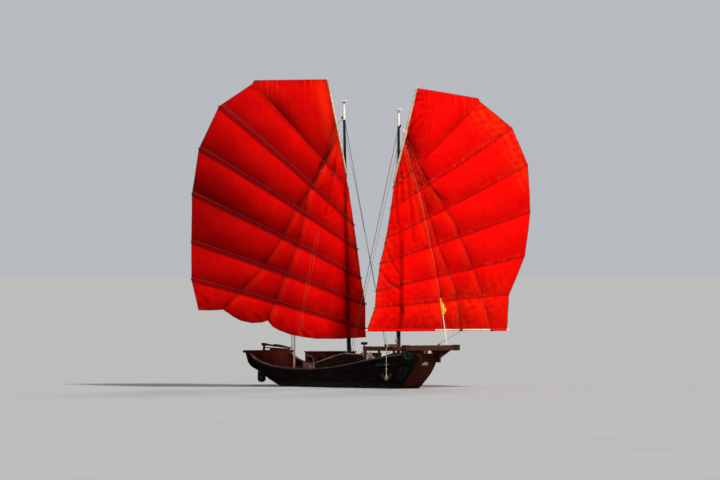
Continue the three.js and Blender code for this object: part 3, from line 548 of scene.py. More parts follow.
class Stuff:
    """A material in the making: its node tree, its shader and the place of a point on the piece."""

    def __init__(self, name):
        self.made = bpy.data.materials.new(name)
        self.made.use_nodes = True
        self.tree = self.made.node_tree
        self.shader = self.tree.nodes["Principled BSDF"]
        self.place = self.node("TexCoord").outputs["Object"]

    def give(self, value, socket):
        if isinstance(value, bpy.types.NodeSocket):
            self.tree.links.new(value, socket)
        else:
            socket.default_value = value

    def node(self, kind, inputs=None, **settings):
        made = self.tree.nodes.new("ShaderNode" + kind)
        for key, value in settings.items():
            setattr(made, key, value)
        for socket, value in (inputs or {}).items():
            self.give(value, made.inputs[socket])
        return made

    def ramp(self, factor, *stops):
        made = self.node("ValToRGB", {"Fac": factor})
        keys = made.color_ramp.elements
        while len(keys) < len(stops):
            keys.new(0.5)
        for key, (place, value) in zip(keys, stops):
            key.position = place
            key.color = (*(value if isinstance(value, tuple) else (value,) * 3), 1)
        return made.outputs["Color"]

    def math(self, operation, a, b=0.0):
        return self.node("Math", {0: a, 1: b}, operation=operation).outputs[0]

    def times(self, a, b):
        return self.math("MULTIPLY", a, b)

    def mix(self, factor, a, b, blend="MIX"):
        a, b = ((*value, 1) if isinstance(value, tuple) else value for value in (a, b))
        made = self.node("Mix", {"Factor": factor, "A": a, "B": b}, data_type="RGBA", blend_type=blend)
        return made.outputs["Result"]

    def noise(self, scale, stretch=(1, 1, 1), detail=6.0, rough=0.6):
        spot = self.node("Mapping", {"Vector": self.place, "Scale": stretch}).outputs["Vector"]
        values = {"Vector": spot, "Scale": scale, "Detail": detail, "Roughness": rough}
        return self.node("TexNoise", values).outputs["Fac"]

    def attribute(self, name):
        return self.node("Attribute", attribute_name=name).outputs["Fac"]

    def finish(self, colour, rough, shine, height, rise, strength=0.6):
        """Sets colour, roughness, shine and relief; gives the material."""
        values = {"Height": height, "Distance": rise, "Strength": strength}
        facing = self.node("Bump", values).outputs["Normal"]
        for socket, value in (
            ("Base Color", colour), ("Roughness", rough), ("Specular IOR Level", shine), ("Normal", facing),
        ):
            self.give(value, self.shader.inputs[socket])
        return self.made


def wood(name, dark, middle, light, grain=(1.0, 14, 14), worn=0.35):
    """Timber: long grain, patches and worn pale places."""
    new = Stuff(name)
    fibre = new.noise(2.2, grain, 9, 0.65)
    colour = new.ramp(fibre, (0.3, dark), (0.52, middle), (0.72, light))
    patch = new.ramp(new.noise(1.3, (0.6, 1, 1), 3, 0.5), (0.35, 0.55), (0.65, 1.0))
    colour = new.mix(0.8, colour, patch, "MULTIPLY")
    rubbed = new.ramp(new.noise(3.1, (0.5, 3, 3), 8, 0.7), (0.58, 0.0), (0.7, 1.0))
    colour = new.mix(new.times(rubbed, worn), colour, tuple(min(1.0, c * 1.7 + 0.01) for c in light))
    return new.finish(colour, new.ramp(fibre, (0.3, 0.55), (0.7, 0.85)), 0.04, fibre, 0.003)


def hull_wood(name):
    """Tarred planking: near black, browner and rubbed along the planks, pale with weed at the water."""
    new = Stuff(name)
    height = new.node("SeparateXYZ", {"Vector": new.place}).outputs["Z"]
    fibre = new.noise(2.0, (0.8, 9, 9), 9, 0.65)
    tar = ((0.34, (0.001, 0.0007, 0.0007)), (0.54, (0.003, 0.0018, 0.0015)), (0.74, (0.012, 0.007, 0.005)))
    colour = new.ramp(fibre, *tar)
    brown = new.ramp(new.noise(0.9, (1.4, 4, 7), 7, 0.7), (0.5, 0.0), (0.66, 1.0))
    scuffs = new.ramp(new.noise(5.0, (0.35, 2.5, 2.5), 10, 0.75), (0.6, 0.0), (0.72, 1.0))
    wet = new.node("MapRange", {"Value": height, "From Min": 0.28, "From Max": 0.02}).outputs[0]
    weed = new.times(wet, new.ramp(new.noise(6.0, (1, 1, 2.5), 8, 0.7), (0.35, 0.0), (0.6, 1.0)))
    for spread, amount, tint in (
        (brown, 0.45, (0.028, 0.010, 0.006)),
        (scuffs, 0.15, (0.09, 0.06, 0.05)),
        (weed, 0.7, (0.05, 0.06, 0.035)),
    ):
        colour = new.mix(new.times(spread, amount), colour, tint)
    return new.finish(colour, new.ramp(fibre, (0.3, 0.5), (0.7, 0.8)), 0.04, fibre, 0.004, 0.7)


def sailcloth(name, bright, deep, see_through=0.42, pocket_and_highlight=None, stipple=False, sunlit=None):
    """Dyed canvas, woven and sewn in cloths. Its shade attribute paints shade where it is creased and along
    battens, lifts and mast, its lit attribute paints highlights, and a tape colour along the battens is
    partly a painted highlight. Light comes through it.
    """
    new = Stuff(name)
    new.place = new.node("UVMap", uv_map="cloth").outputs["UV"]
    patch = new.noise(0.8, detail=5)
    colour = new.mix(new.ramp(patch, (0.35, 0.0), (0.68, 1.0)), deep, bright)
    mottle = new.ramp(new.noise(5.0, detail=8, rough=0.7), (0.3, 0.86), (0.7, 1.08))
    colour = new.mix(1.0, colour, mottle, "MULTIPLY")
    step = new.math("DIVIDE", new.node("SeparateXYZ", {"Vector": new.place}).outputs["X"], CLOTH_WIDTH)
    away = new.math("ABSOLUTE", new.math("SUBTRACT", new.math("FRACT", step), 0.5))
    seam_and_shadow = new.math("GREATER_THAN", away, 0.5 - SEAM_SHARE / 2)
    tone = new.node("TexWhiteNoise", {"W": new.math("FLOOR", step)}, noise_dimensions="1D").outputs["Value"]
    colour = new.mix(new.times(seam_and_shadow, 0.14), colour, tuple(c * 0.3 for c in deep))
    colour = new.mix(1.0, colour, new.ramp(tone, (0.0, 0.97), (1.0, 1.03)), "MULTIPLY")
    # Painted light: a sunlit colour where the lit attribute is set.
    if sunlit:
        colour = new.mix(new.attribute("lit"), colour, sunlit)
    # Painted shade from the shade attribute.
    colour = new.mix(new.attribute("shade"), colour, tuple(c * 0.12 for c in deep))
    # The tape colour along each batten, laid over the shade: partly its own colour, partly a painted
    # highlight.
    if pocket_and_highlight:
        sewn = new.attribute("pocket_and_highlight")
        if stipple:
            dots = new.ramp(new.noise(13.0, (1.2, 0.4, 1), 2, 0.5), (0.48, 0.0), (0.64, 1.0))
            gathers = new.ramp(new.noise(1.4, detail=2, rough=0.5), (0.44, 0.12), (0.58, 1.0))
            sewn = new.times(sewn, new.times(dots, gathers))
        colour = new.mix(sewn, colour, pocket_and_highlight)
    weave = new.node("TexChecker", {"Vector": new.place, "Scale": 160.0}).outputs["Fac"]
    fine = new.math("ADD", new.times(weave, 0.3), new.noise(60.0, detail=4, rough=0.7))
    new.finish(colour, 0.9, 0.03, new.math("ADD", fine, new.times(seam_and_shadow, 1.5)), 0.0015, 0.5)
    facing = new.shader.inputs["Normal"].links[0].from_socket
    glow = new.node("BsdfTranslucent", {"Color": colour, "Normal": facing})
    both = new.node("MixShader", {0: see_through, 1: new.shader.outputs[0], 2: glow.outputs[0]})
    new.give(both.outputs[0], new.tree.nodes["Material Output"].inputs["Surface"])
    return new.made


def rope_stuff(name, dark, light):
    new = Stuff(name)
    hairs = new.noise(45.0, rough=0.7)
    soil = new.ramp(new.noise(3.0, detail=4), (0.3, 0.6), (0.7, 1.0))
    colour = new.mix(0.5, new.ramp(hairs, (0.3, dark), (0.7, light)), soil, "MULTIPLY")
    return new.finish(colour, 0.9, 0.5, hairs, 0.002)


def painted(name, paint, under, chipped=0.62, roughness=0.45, metallic=0.0):
    """Old paint with the material under it showing where it has chipped."""
    new = Stuff(name)
    chips = new.ramp(new.noise(7.0, detail=10, rough=0.72), (chipped, 0.0), (chipped + 0.03, 1.0))
    soil = new.ramp(new.noise(2.5, detail=5), (0.3, 0.7), (0.7, 1.05))
    colour = new.mix(chips, new.mix(1.0, paint, soil, "MULTIPLY"), under)
    new.shader.inputs["Metallic"].default_value = metallic
    rough = new.ramp(chips, (0.0, roughness), (1.0, 0.85))
    return new.finish(colour, rough, 0.5 if metallic else 0.06, new.times(chips, -1.0), 0.001, 0.5)


def mast_paint(name, white_from):
    """Black paint below, white above a height, worn to the wood in places."""
    new = Stuff(name)
    height = new.node("SeparateXYZ", {"Vector": new.place}).outputs["Z"]
    wobble = new.times(new.noise(9.0, detail=4), 0.06)
    top = new.math("GREATER_THAN", new.math("ADD", height, wobble), white_from + 0.03)
    grain = new.noise(3.0, (10, 10, 0.8), 8, 0.65)
    black = new.ramp(grain, (0.35, (0.004, 0.004, 0.005)), (0.7, (0.018, 0.017, 0.018)))
    white = new.ramp(grain, (0.3, (0.60, 0.57, 0.52)), (0.7, (0.86, 0.84, 0.80)))
    colour = new.mix(top, black, white)
    return new.finish(colour, new.ramp(grain, (0.3, 0.5), (0.7, 0.75)), 0.15, grain, 0.002, 0.5)


TARRED = hull_wood("tarred_planks")
INNER = wood("inner_planks", (0.024, 0.003, 0.002), (0.070, 0.009, 0.005), (0.13, 0.026, 0.014), worn=0.15)
PANEL_WOOD = wood(
    "bow_panel_wood", (0.020, 0.003, 0.001), (0.060, 0.008, 0.003), (0.12, 0.022, 0.009), worn=0.1
)
BEAM_WOOD = wood("beam_wood", (0.018, 0.006, 0.003), (0.050, 0.017, 0.009), (0.095, 0.038, 0.024), worn=0.1)
RAIL_PLANK = wood(
    "rail_plank_wood", (0.032, 0.009, 0.005), (0.080, 0.024, 0.014), (0.15, 0.056, 0.036), worn=0.12
)
RED_WOOD = wood(
    "red_brown_wood", (0.026, 0.006, 0.004), (0.075, 0.018, 0.010), (0.14, 0.042, 0.026), worn=0.2
)
DECK = wood("deck_wood", (0.045, 0.030, 0.022), (0.11, 0.074, 0.056), (0.19, 0.135, 0.105))
DECK_SEAMS = wood(
    "deck_seam_wood", (0.006, 0.005, 0.004), (0.012, 0.010, 0.008), (0.022, 0.018, 0.015), worn=0.0
)
STAVES = wood(
    "stave_wood", (0.028, 0.005, 0.003), (0.086, 0.015, 0.008), (0.15, 0.034, 0.021), grain=(14, 14, 1)
)
GREY_WOOD = wood("grey_wood", (0.030, 0.023, 0.020), (0.085, 0.066, 0.058), (0.16, 0.13, 0.115))
PANEL_KNEES = wood("knee_wood", (0.010, 0.003, 0.002), (0.030, 0.008, 0.004), (0.058, 0.020, 0.013), worn=0.1)
DARK_WOOD = wood("dark_wood", (0.005, 0.003, 0.002), (0.018, 0.010, 0.007), (0.050, 0.027, 0.018), worn=0.12)
WASH_WOOD = wood(
    "washboard_wood", (0.003, 0.0012, 0.001), (0.012, 0.0045, 0.003), (0.085, 0.030, 0.015), worn=0.08
)
CAP_WOOD = wood("cap_wood", (0.030, 0.012, 0.009), (0.090, 0.040, 0.031), (0.22, 0.13, 0.105), worn=0.3)
RAIL = wood("rail_wood", (0.12, 0.060, 0.045), (0.25, 0.14, 0.11), (0.42, 0.27, 0.22))
PALE_POLE = wood(
    "pale_pole", (0.42, 0.29, 0.17), (0.66, 0.5, 0.33), (0.8, 0.64, 0.45), grain=(8, 8, 1), worn=0.1
)
# A paler, warmer copy of the pale pole wood for the boom: painted light.
BOOM_POLE_LIT = wood(
    "boom_pole_painted_light", (0.62, 0.37, 0.24), (0.90, 0.60, 0.42), (0.98, 0.72, 0.54), grain=(8, 8, 1), worn=0.05
)
BAMBOO = wood(
    "bamboo", (0.06, 0.02, 0.012), (0.15, 0.05, 0.03), (0.27, 0.11, 0.06), grain=(5, 5, 3), worn=0.15
)
# The sunlit colours are painted highlights, and the tape colours are partly painted highlights.
MAIN_CLOTH = sailcloth(
    "main_sailcloth", (0.78, 0.003, 0.0015), (0.64, 0.0015, 0.001), pocket_and_highlight=(0.34, 0.022, 0.030),
    sunlit=(0.92, 0.020, 0.0015)
)
FORE_CLOTH = sailcloth(
    "fore_sailcloth", (0.96, 0.004, 0.002), (0.88, 0.002, 0.001), pocket_and_highlight=(1.0, 0.10, 0.055), stipple=True,
    sunlit=(1.0, 0.032, 0.004)
)
PENNANT = sailcloth("pennant_cloth", (1.0, 0.74, 0.06), (1.0, 0.50, 0.02), 0.25)
PALE_CANE = wood(
    "pale_cane", (0.40, 0.29, 0.20), (0.68, 0.55, 0.42), (0.88, 0.77, 0.63), grain=(6, 6, 6), worn=0.1
)
DARK_ROPE = rope_stuff("dark_rope", (0.012, 0.011, 0.011), (0.05, 0.046, 0.042))
PALE_ROPE = rope_stuff("pale_rope", (0.30, 0.245, 0.19), (0.55, 0.47, 0.38))
WHITE_ROPE = rope_stuff("white_rope", (0.55, 0.5, 0.44), (0.88, 0.84, 0.78))
RED_ROPE = rope_stuff("red_rope", (0.05, 0.002, 0.002), (0.11, 0.005, 0.004))
ORANGE_ROPE = rope_stuff("orange_rope", (0.42, 0.018, 0.010), (0.62, 0.045, 0.025))
PINK_ROPE = rope_stuff("pink_rope", (0.75, 0.10, 0.06), (0.95, 0.24, 0.17))
BLACK = painted("black_paint", (0.012, 0.012, 0.014), (0.07, 0.05, 0.04), 0.66)
IRON = painted("anchor_paint", (0.30, 0.20, 0.13), (0.11, 0.045, 0.025), 0.60, 0.6, 0.0)
STEEL = painted("dark_iron", (0.03, 0.028, 0.027), (0.09, 0.035, 0.02), 0.6, 0.5, 0.6)
GREEN = painted("green_paint", (0.009, 0.040, 0.018), (0.010, 0.014, 0.010), 0.58, 0.7)
DARK_GREEN = painted("dark_green_paint", (0.003, 0.012, 0.006), (0.010, 0.008, 0.006), 0.60)
DARK_RED = painted("dark_red_paint", (0.022, 0.003, 0.004), (0.012, 0.007, 0.005), 0.60)
EYE_BROWN = painted("eye_brown_paint", (0.055, 0.018, 0.008), (0.02, 0.01, 0.008), 0.64)
CREAM = painted("cream_paint", (0.45, 0.40, 0.24), (0.05, 0.02, 0.012), 0.57)
WHITE = painted("white_paint", (0.8, 0.78, 0.72), (0.3, 0.24, 0.2), 0.66)
# A whiter copy of the white paint for the white pole: painted light against the sail's shade on it.
WHITE_LIT = painted("white_paint_lit", (0.92, 0.91, 0.88), (0.6, 0.55, 0.5), 0.72)
GREY_PAINT = painted("grey_paint", (0.22, 0.21, 0.20), (0.10, 0.05, 0.035), 0.62)


# Floor, light and camera

FLOOR_REACH = 1400.0
FLOOR_SIDES = 96


def set_stage():
    new = Stuff("floor")
    grain = new.noise(0.3, detail=3, rough=0.5)
    tone = new.ramp(grain, (0.3, (0.262, 0.268, 0.276)), (0.7, (0.278, 0.282, 0.288)))
    for socket, value in (("Base Color", tone), ("Roughness", 0.95), ("Specular IOR Level", 0.0)):
        new.give(value, new.shader.inputs[socket])
    rim = [(x, y, 0.0) for x, y in ring_section(FLOOR_REACH, FLOOR_SIDES)]
    piece("floor", rim, [tuple(range(FLOOR_SIDES))], new.made, None, smooth=False)
    world = bpy.data.worlds.new("studio")
    bpy.context.scene.world = world
    world.use_nodes = True
    backdrop = world.node_tree.nodes["Background"].inputs
    backdrop["Color"].default_value = (0.92, 0.95, 1.0, 1)
    backdrop["Strength"].default_value = 0.52


def sun(name, azimuth, elevation, strength, softness, colour=(1, 1, 1)):
    """A soft lamp whose light comes from an azimuth, counted as the views are, and an elevation."""
    lamp = bpy.data.lights.new(name, "SUN")
    lamp.energy = strength
    lamp.angle = math.radians(softness)
    lamp.color = colour
    made = bpy.data.objects.new(name, lamp)
    bpy.context.scene.collection.objects.link(made)
    a, e = math.radians(azimuth), math.radians(elevation)
    towards = Vector((math.sin(a) * math.cos(e), -math.cos(a) * math.cos(e), math.sin(e)))
    made.rotation_mode = "QUATERNION"
    made.rotation_quaternion = (-towards).to_track_quat("-Z", "Y")


def set_camera():
    right = Vector((math.cos(HEADING), math.sin(HEADING), 0))
    away = Vector((-math.sin(HEADING), math.cos(HEADING), 0))
    focal = CAMERA_DISTANCE / METRES_PER_PIXEL
    aside = (MAST_AT_WATER[0] - PHOTO_MIDDLE[0]) * METRES_PER_PIXEL
    spot = Vector((MASTS["main"]["x"], 0, 0)) - away * CAMERA_DISTANCE - right * aside
    spot.z = (MAST_AT_WATER[1] - HORIZON_ROW) * METRES_PER_PIXEL
    tilt = math.atan((HORIZON_ROW - PHOTO_MIDDLE[1]) / focal)
    aim = away * math.cos(tilt) + Vector((0, 0, math.sin(tilt)))
    lens = bpy.data.cameras.new("camera")
    lens.sensor_width = SENSOR
    lens.lens = SENSOR * focal / PHOTO_WIDTH
    lens.clip_start, lens.clip_end = 1.0, 3000.0
    made = bpy.data.objects.new("camera", lens)
    bpy.context.scene.collection.objects.link(made)
    made.location = spot
    made.rotation_mode = "QUATERNION"
    made.rotation_quaternion = aim.to_track_quat("-Z", "Y")
    bpy.context.scene.camera = made


set_camera()
set_stage()
bpy.context.scene.view_settings.view_transform = "Standard"
sun("key_light", 92, 50, 4.8, 8, (1.0, 0.96, 0.90))
sun("glow_light", 215, 30, 1.6, 12, (1.0, 0.95, 0.88))


# Sails: in a frame that stands on the mast, x is aft along the boom, y is away from the mast, z is up

def sail_matrix(sail):
    mast = MASTS[sail["name"]]
    return (
        Matrix.Translation((mast["x"], 0, mast["foot"]))
        @ Matrix.Rotation(-math.radians(mast["rake"]), 4, "Y")
        @ Matrix.Translation((0, 0, -mast["foot"]))
        @ Matrix.Rotation(math.pi - math.radians(sail["set"]), 4, "Z")
    )


def into_boat(sail, points):
    return moved((points, None), sail_matrix(sail))[0]


def aloft(sail, name, part, material, slot, replaces=None):
    """A part given in the sail's frame, as a piece that rides with the sail."""
    return piece(name, *moved(part, sail_matrix(sail)), material, sail["body"], slot, replaces=replaces)


def bell(away, half):
    """1 at no distance, falling off softly."""
    return np.exp(-(away / half) ** 2)


def unit(value):
    return np.clip(value, 0, 1)


def crease_depth(u, z, path, width):
    """How deep a lift presses, 1 on its line and 0 a little way off; how far off, and on which side."""
    near, aft = np.full(u.shape, 1e9), np.zeros(u.shape)
    for (u0, z0), (u1, z1) in zip(path, path[1:]):
        du, dz = u1 - u0, z1 - z0
        t = unit(((u - u0) * du + (z - z0) * dz) / (du * du + dz * dz))
        away = np.hypot(u - u0 - t * du, z - z0 - t * dz)
        aft = np.where(away < near, np.sign((u - u0) * -dz + (z - z0) * du), aft)
        near = np.minimum(near, away)
    return bell(near, width), near, aft


def on_cloth(sail, s, t, fine=True):
    """Points of the cloth in the sail's frame, and its painted shade, painted light and tape colour there: s
    from luff to leech, t counts rows.
    """
    rows, side = sail["rows"], sail["side"]
    s, t = np.broadcast_arrays(np.asarray(s, float), np.asarray(t, float))
    i = np.clip(np.floor(t).astype(int), 0, len(rows) - 2)
    f = t - i
    upper, lower = rows[i], rows[i + 1]

    def across(row, a, b):
        return row[..., a] + (row[..., b] - row[..., a]) * s

    u = across(upper, 0, 2) * (1 - f) + across(lower, 0, 2) * f
    top, bottom = across(upper, 1, 3), across(lower, 1, 3)
    foot = np.interp(across(lower, 0, 2), *np.array(sail["foot"]).T)
    skirt = i == len(rows) - 2
    bottom = np.where(skirt, foot, bottom)
    z = top * (1 - f) + bottom * f
    belly = upper[..., 4] * (1 - f) + lower[..., 4] * f
    to_boom = np.where(skirt & (sail["body"] == "fore_rig"), 1 - unit(f) ** 2, 1)
    out = STAND_OFF + CLOTH / 2 + belly * 4 * s * (1 - s) * to_boom
    tall = np.clip(top - bottom, 0, 1.7)
    edge = 0.22 + 0.78 * (1 - np.abs(2 * s - 1) ** 2.5)
    swell = np.sin(math.pi * unit(f)) ** 0.8
    loose = swell if sail["body"] == "fore_rig" else np.sin(0.75 * math.pi * f)
    out += sail["billow"] * tall * edge * np.where(skirt, loose, swell)
    held = np.where(skirt & (f > 0.5), 0, 1)
    near_batten = np.minimum(f, 1 - f) * tall
    gap = np.clip(top - bottom, 0, None)
    # Painted shade: a dark band along each batten.
    shade = sail["batten_dark"] * bell(near_batten, 0.14) * held
    pocket_and_highlight, lit = 0 * u, 0 * u

    def beside(middle, half):
        """A soft band along each batten; its middle is a little above it, or below where that is negative."""
        strength = lambda k: np.where(k == 1, sail["first_batten"], 1.0)
        low = np.where(skirt, 0.0, bell((1 - f) * gap - middle, half) * strength(i + 1))
        high = np.where(i > 0, bell(-f * gap - middle, half) * strength(i), 0.0)
        return np.maximum(low, high)

    if fine:
        panel = unit(swell * 1.4)
        wide = upper[..., 2] - upper[..., 0]
        from_luff, from_leech = s * wide, (1 - s) * wide
        head = unit(1.3 - t)
        spacing, reach, depth, dark = sail["head_folds"]
        outline = np.vstack([rows[0][:2], rows[:4, 2:4]])
        below = np.clip(np.interp(u, outline[:, 0], outline[:, 1]) - z, 0, 20)
        wave = np.sin(TURN * u / spacing + 2.5 * ripple(u, 0.3 * z, 1.1, 3))
        fold = np.exp(-below / reach) * np.clip(1.8 - t, 0.1, 1)
        out += depth * fold * wave
        # Painted shade in the hollows of the head folds, and a painted highlight on their crests.
        shade += dark * fold * unit(-wave)
        lit += fold * unit(5 * (wave - 0.8)) * unit(0.4 + 1.2 * ripple(u, 0.3 * z, 0.5, 31))
        spacing, reach, depth, dark = sail["luff_folds"]
        wave = np.sin(TURN * z / spacing + 2 * ripple(u, z, 0.9, 5)) * (0.3 + 0.7 * head)
        out += depth * np.exp(-from_luff / reach) * wave
        # Painted shade in the hollows of the folds along the luff.
        shade += dark * np.exp(-from_luff / reach) * unit(-wave)
        out += 0.006 * np.exp(-from_leech / 0.35) * np.sin(TURN * z / 0.3 + 2 * ripple(u, z, 0.7, 6))
        pucker = np.exp(-near_batten / 0.16) * held
        out += 0.006 * pucker * np.sin(TURN * u / 0.21 + 3 * ripple(u, z, 0.8, 8))
        out += 0.014 * ripple(u, z, 1.3, 11) * panel + 0.005 * ripple(u, z, 0.4, 12) * panel
        # A sunk line beside each batten, darkened as a painted shadow of the batten.
        middle, half, dark = sail["seam_and_shadow"]
        line = beside(middle, half)
        out -= sail["relief"] * line
        shade += dark * line
        # A raised band beside each batten, coloured partly as its own tape and partly as a painted highlight.
        middle, half, amount = sail["pocket_and_highlight"]
        pocket_and_highlight = amount * beside(middle, half)
        out += 2 * sail["relief"] * beside(middle, half)
        width, dark, beyond, depth = sail["lift_press"]
        for path in sail["lifts"]:
            press, near, aft = crease_depth(u, z, path, width)
            ridge = np.exp(-((near - 2 * width) / (1.2 * width)) ** 2)
            out += 0.014 * ridge - depth * press * (0.35 + 0.65 * panel)
            # Painted shade along each lift, darker where it crosses a batten line and on its aft side, with a
            # painted highlight on its other side.
            shade += dark * press + 0.3 * press * line
            shade += beyond * np.exp(-near / 0.4) * (aft > 0) * panel
            lit += 0.9 * beyond * bell(near - 0.14, 0.14) * (aft < 0) * panel
        for path, width, depth, dark in sail["wrinkles"]:
            press, near, aft = crease_depth(u, z, path, width)
            out += depth * (0.4 * bell(near - 2 * width, width) - press)
            # Painted shade in each wrinkle, with a painted highlight beside it.
            shade += dark * press
            lit += 0.5 * dark * bell(near - 1.6 * width, width) * (aft < 0)
        # The mast's painted shadow, seen through the cloth.
        place, top_end, half, dark = sail["mast_shadow"]
        shade += dark * bell(u - place, half) * unit((top_end - z) / 0.8)
        # Painted shadows where knots bear on the cloth.
        for place, height, half, tall_half, dark in sail["knots"]:
            shade += dark * np.exp(-((u - place) / half) ** 2 - ((z - height) / tall_half) ** 2)
        # Painted shade: each panel darker towards the batten below, and the middle of the leech darker.
        falls = unit(f) ** 1.5 * unit(tall / 1.2) * (0.2 + 0.8 * unit(1.6 * s))
        shade += sail["panel_shade"] * falls
        shade += sail["leech_shade"] * np.exp(-((1 - s) / 0.4) ** 2 - ((t - 3.9) / 1.3) ** 2)
        # Painted light: sunlit bands along the luff and the leech.
        for place, half, from_t, to_t, amount in sail["lit_luff"]:
            lit += amount * bell(from_luff - place, half) * (t > from_t) * unit(4 * (to_t - t))
        for place, half, from_t, to_t, amount in sail["lit_leech"]:
            spread = bell(from_leech - place, half) * (0.6 + 0.8 * ripple(u, z, 0.3, 21))
            lit += amount * spread * unit(2 * (t - from_t)) * unit(2 * (to_t - t))
        low = np.where(skirt, f, 0) * to_boom
        out += 0.03 * low * np.sin(TURN * u / 0.55 + 2 * ripple(u, z, 1.0, 15))
    tones = {"shade": np.clip(shade, 0, 0.86), "pocket_and_highlight": unit(pocket_and_highlight), "lit": unit(lit)}
    return np.stack([u, side * out, z], axis=-1), tones


def place_on(sail, u, z):
    """The s and t of a point given by its distance aft and height."""
    t = np.linspace(0, len(sail["rows"]) - 1, 700)
    i = np.clip(np.floor(t).astype(int), 0, len(sail["rows"]) - 2)
    f = (t - i)[:, None]
    row = sail["rows"][i] * (1 - f) + sail["rows"][i + 1] * f
    s = (u - row[:, 0]) / (row[:, 2] - row[:, 0])
    height = row[:, 1] + (row[:, 3] - row[:, 1]) * s
    at = np.interp(-z, -height, t)
    return float(np.interp(at, t, s)), float(at)


def finish_cloth(made, spread, thickness, body, replaces):
    """Gives a cloth its weave by place, its thickness and its part in the frame."""
    give_cloth_map(made, spread)
    thick = made.modifiers.new("thickness", "SOLIDIFY")
    thick.thickness = thickness
    thick.offset = 0.0
    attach(made, body)
    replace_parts(made, replaces)


def outline_area(x, z):
    return abs(np.sum(x * np.roll(z, -1) - np.roll(x, -1) * z)) / 2


def make_cloth(sail, material):
    """The sail itself: fine cloth over its rows, with its thickness."""
    across, down = 170, 32
    panels = len(sail["rows"]) - 1
    part = 0.5 - 0.5 * np.cos(np.linspace(0, math.pi, down, endpoint=False))
    t = np.concatenate([k + part for k in range(panels)] + [[panels - 1e-6]])
    points, tones = on_cloth(sail, *np.meshgrid(np.linspace(0, 1, across + 1), t))
    flat = points.reshape(-1, 3)
    faces = grid_faces(len(t) - 1, across)
    made = piece(sail["name"] + "_cloth", into_boat(sail, flat), faces, material, None)
    for tone, values in tones.items():
        layer = made.data.attributes.new(tone, "FLOAT", "POINT")
        layer.data.foreach_set("value", values.ravel().astype(np.float32))
    finish_cloth(made, flat, 0.004, sail["body"], sail["name"] + "_sail")
    return made


def cloth_area(sail):
    """The area of the sail's outline, in square metres."""
    s, last = np.linspace(0, 1, 40), len(sail["rows"]) - 1.001
    down = np.linspace(0, last, 120)
    ways = ((s, 0 * s), (1.0, down), (s[::-1], 0 * s + last), (0.0, down[::-1]))
    u, _, z = np.vstack([on_cloth(sail, *way, False)[0] for way in ways]).T
    return outline_area(u, z)


def surface_path(sail, pairs, lift, step=0.05):
    """A path over the cloth through (distance aft, height) pairs, held a little off it."""
    flat = spaced([(u, 0, z) for u, z in pairs], step)
    found = np.array([place_on(sail, u, z) for u, _, z in flat])
    points, _ = on_cloth(sail, found[:, 0], found[:, 1])
    points[:, 1] += sail["side"] * lift
    return points


def give_cloth_map(made, flat):
    """Lays the weave over a piece by its place along and up the sail."""
    index = np.zeros(len(made.data.loops), int)
    made.data.loops.foreach_get("vertex_index", index)
    spread = made.data.uv_layers.new(name="cloth")
    spread.data.foreach_set("uv", flat[index][:, (0, 2)].astype(np.float32).ravel())


def make_battens(sail):
    """Bamboo behind the cloth, each with its hoop round the mast and a pale cap at the luff."""
    mast, name, side = MASTS[sail["name"]], sail["name"], sail["side"]
    behind = -BATTEN_RADIUS - 0.003
    inner = mast["deck_radius"] + 0.045
    for k in range(1, len(sail["rows"]) - 1):
        luff, luff_z, leech, leech_z, belly = sail["rows"][k]

        def along(s):
            out = side * (STAND_OFF + behind + belly * 4 * s * (1 - s))
            return luff + (leech - luff) * s, out, luff_z + (leech_z - luff_z) * s

        over = BATTEN_OVERHANG / (leech - luff)
        path = np.stack(along(np.linspace(-over, 1 + over / 2, 150)), axis=1)
        way = np.concatenate([[0], np.cumsum(np.linalg.norm(np.diff(path, axis=0), axis=1))])
        knot = np.exp(-((way + 0.13 * k) % 0.43 - 0.2) ** 2 / 0.0004)
        size = (1.0 - 0.2 * way / way[-1]) * (0.86 + 0.14 * knot)
        _, reach, height = along(-luff / (leech - luff))
        middle = (reach - side * inner) / 2
        at = np.linspace(0, TURN, 120, endpoint=False)
        hoop = [np.cos(at) * (inner + 0.014), middle + np.sin(at) * abs(reach - middle), 0 * at + height]
        parts = [pole(path, BATTEN_RADIUS, 14, size), laid_rope(np.stack(hoop, axis=1), 0.017, closed=True)]
        aloft(sail, f"{name}_bamboo_{k}", gather(parts), BAMBOO, "batten", f"{name}_batten_{k}")
        forward = (path[0] - path[4]) / np.linalg.norm(path[0] - path[4])
        cap = path[0] + forward * np.linspace(-0.05, 0.02, 5)[:, None]
        aloft(sail, f"{name}_batten_cap_{k}", pole(cap, 0.036, 14), PALE_POLE, "pale_spar")


def make_edges(sail):
    """The rope sewn round the cloth."""
    last = len(sail["rows"]) - 1.001
    down = np.linspace(0, last, 420)
    ways = ((0.0, down), (1.0, down), (np.linspace(0, 1, 120), 0.0), (np.linspace(0, 1, 300), last))
    parts = [laid_rope(spaced(on_cloth(sail, *way)[0], 0.03), 0.013) for way in ways]
    return aloft(sail, sail["name"] + "_bolt_rope", gather(parts), RED_ROPE, "sailcloth")


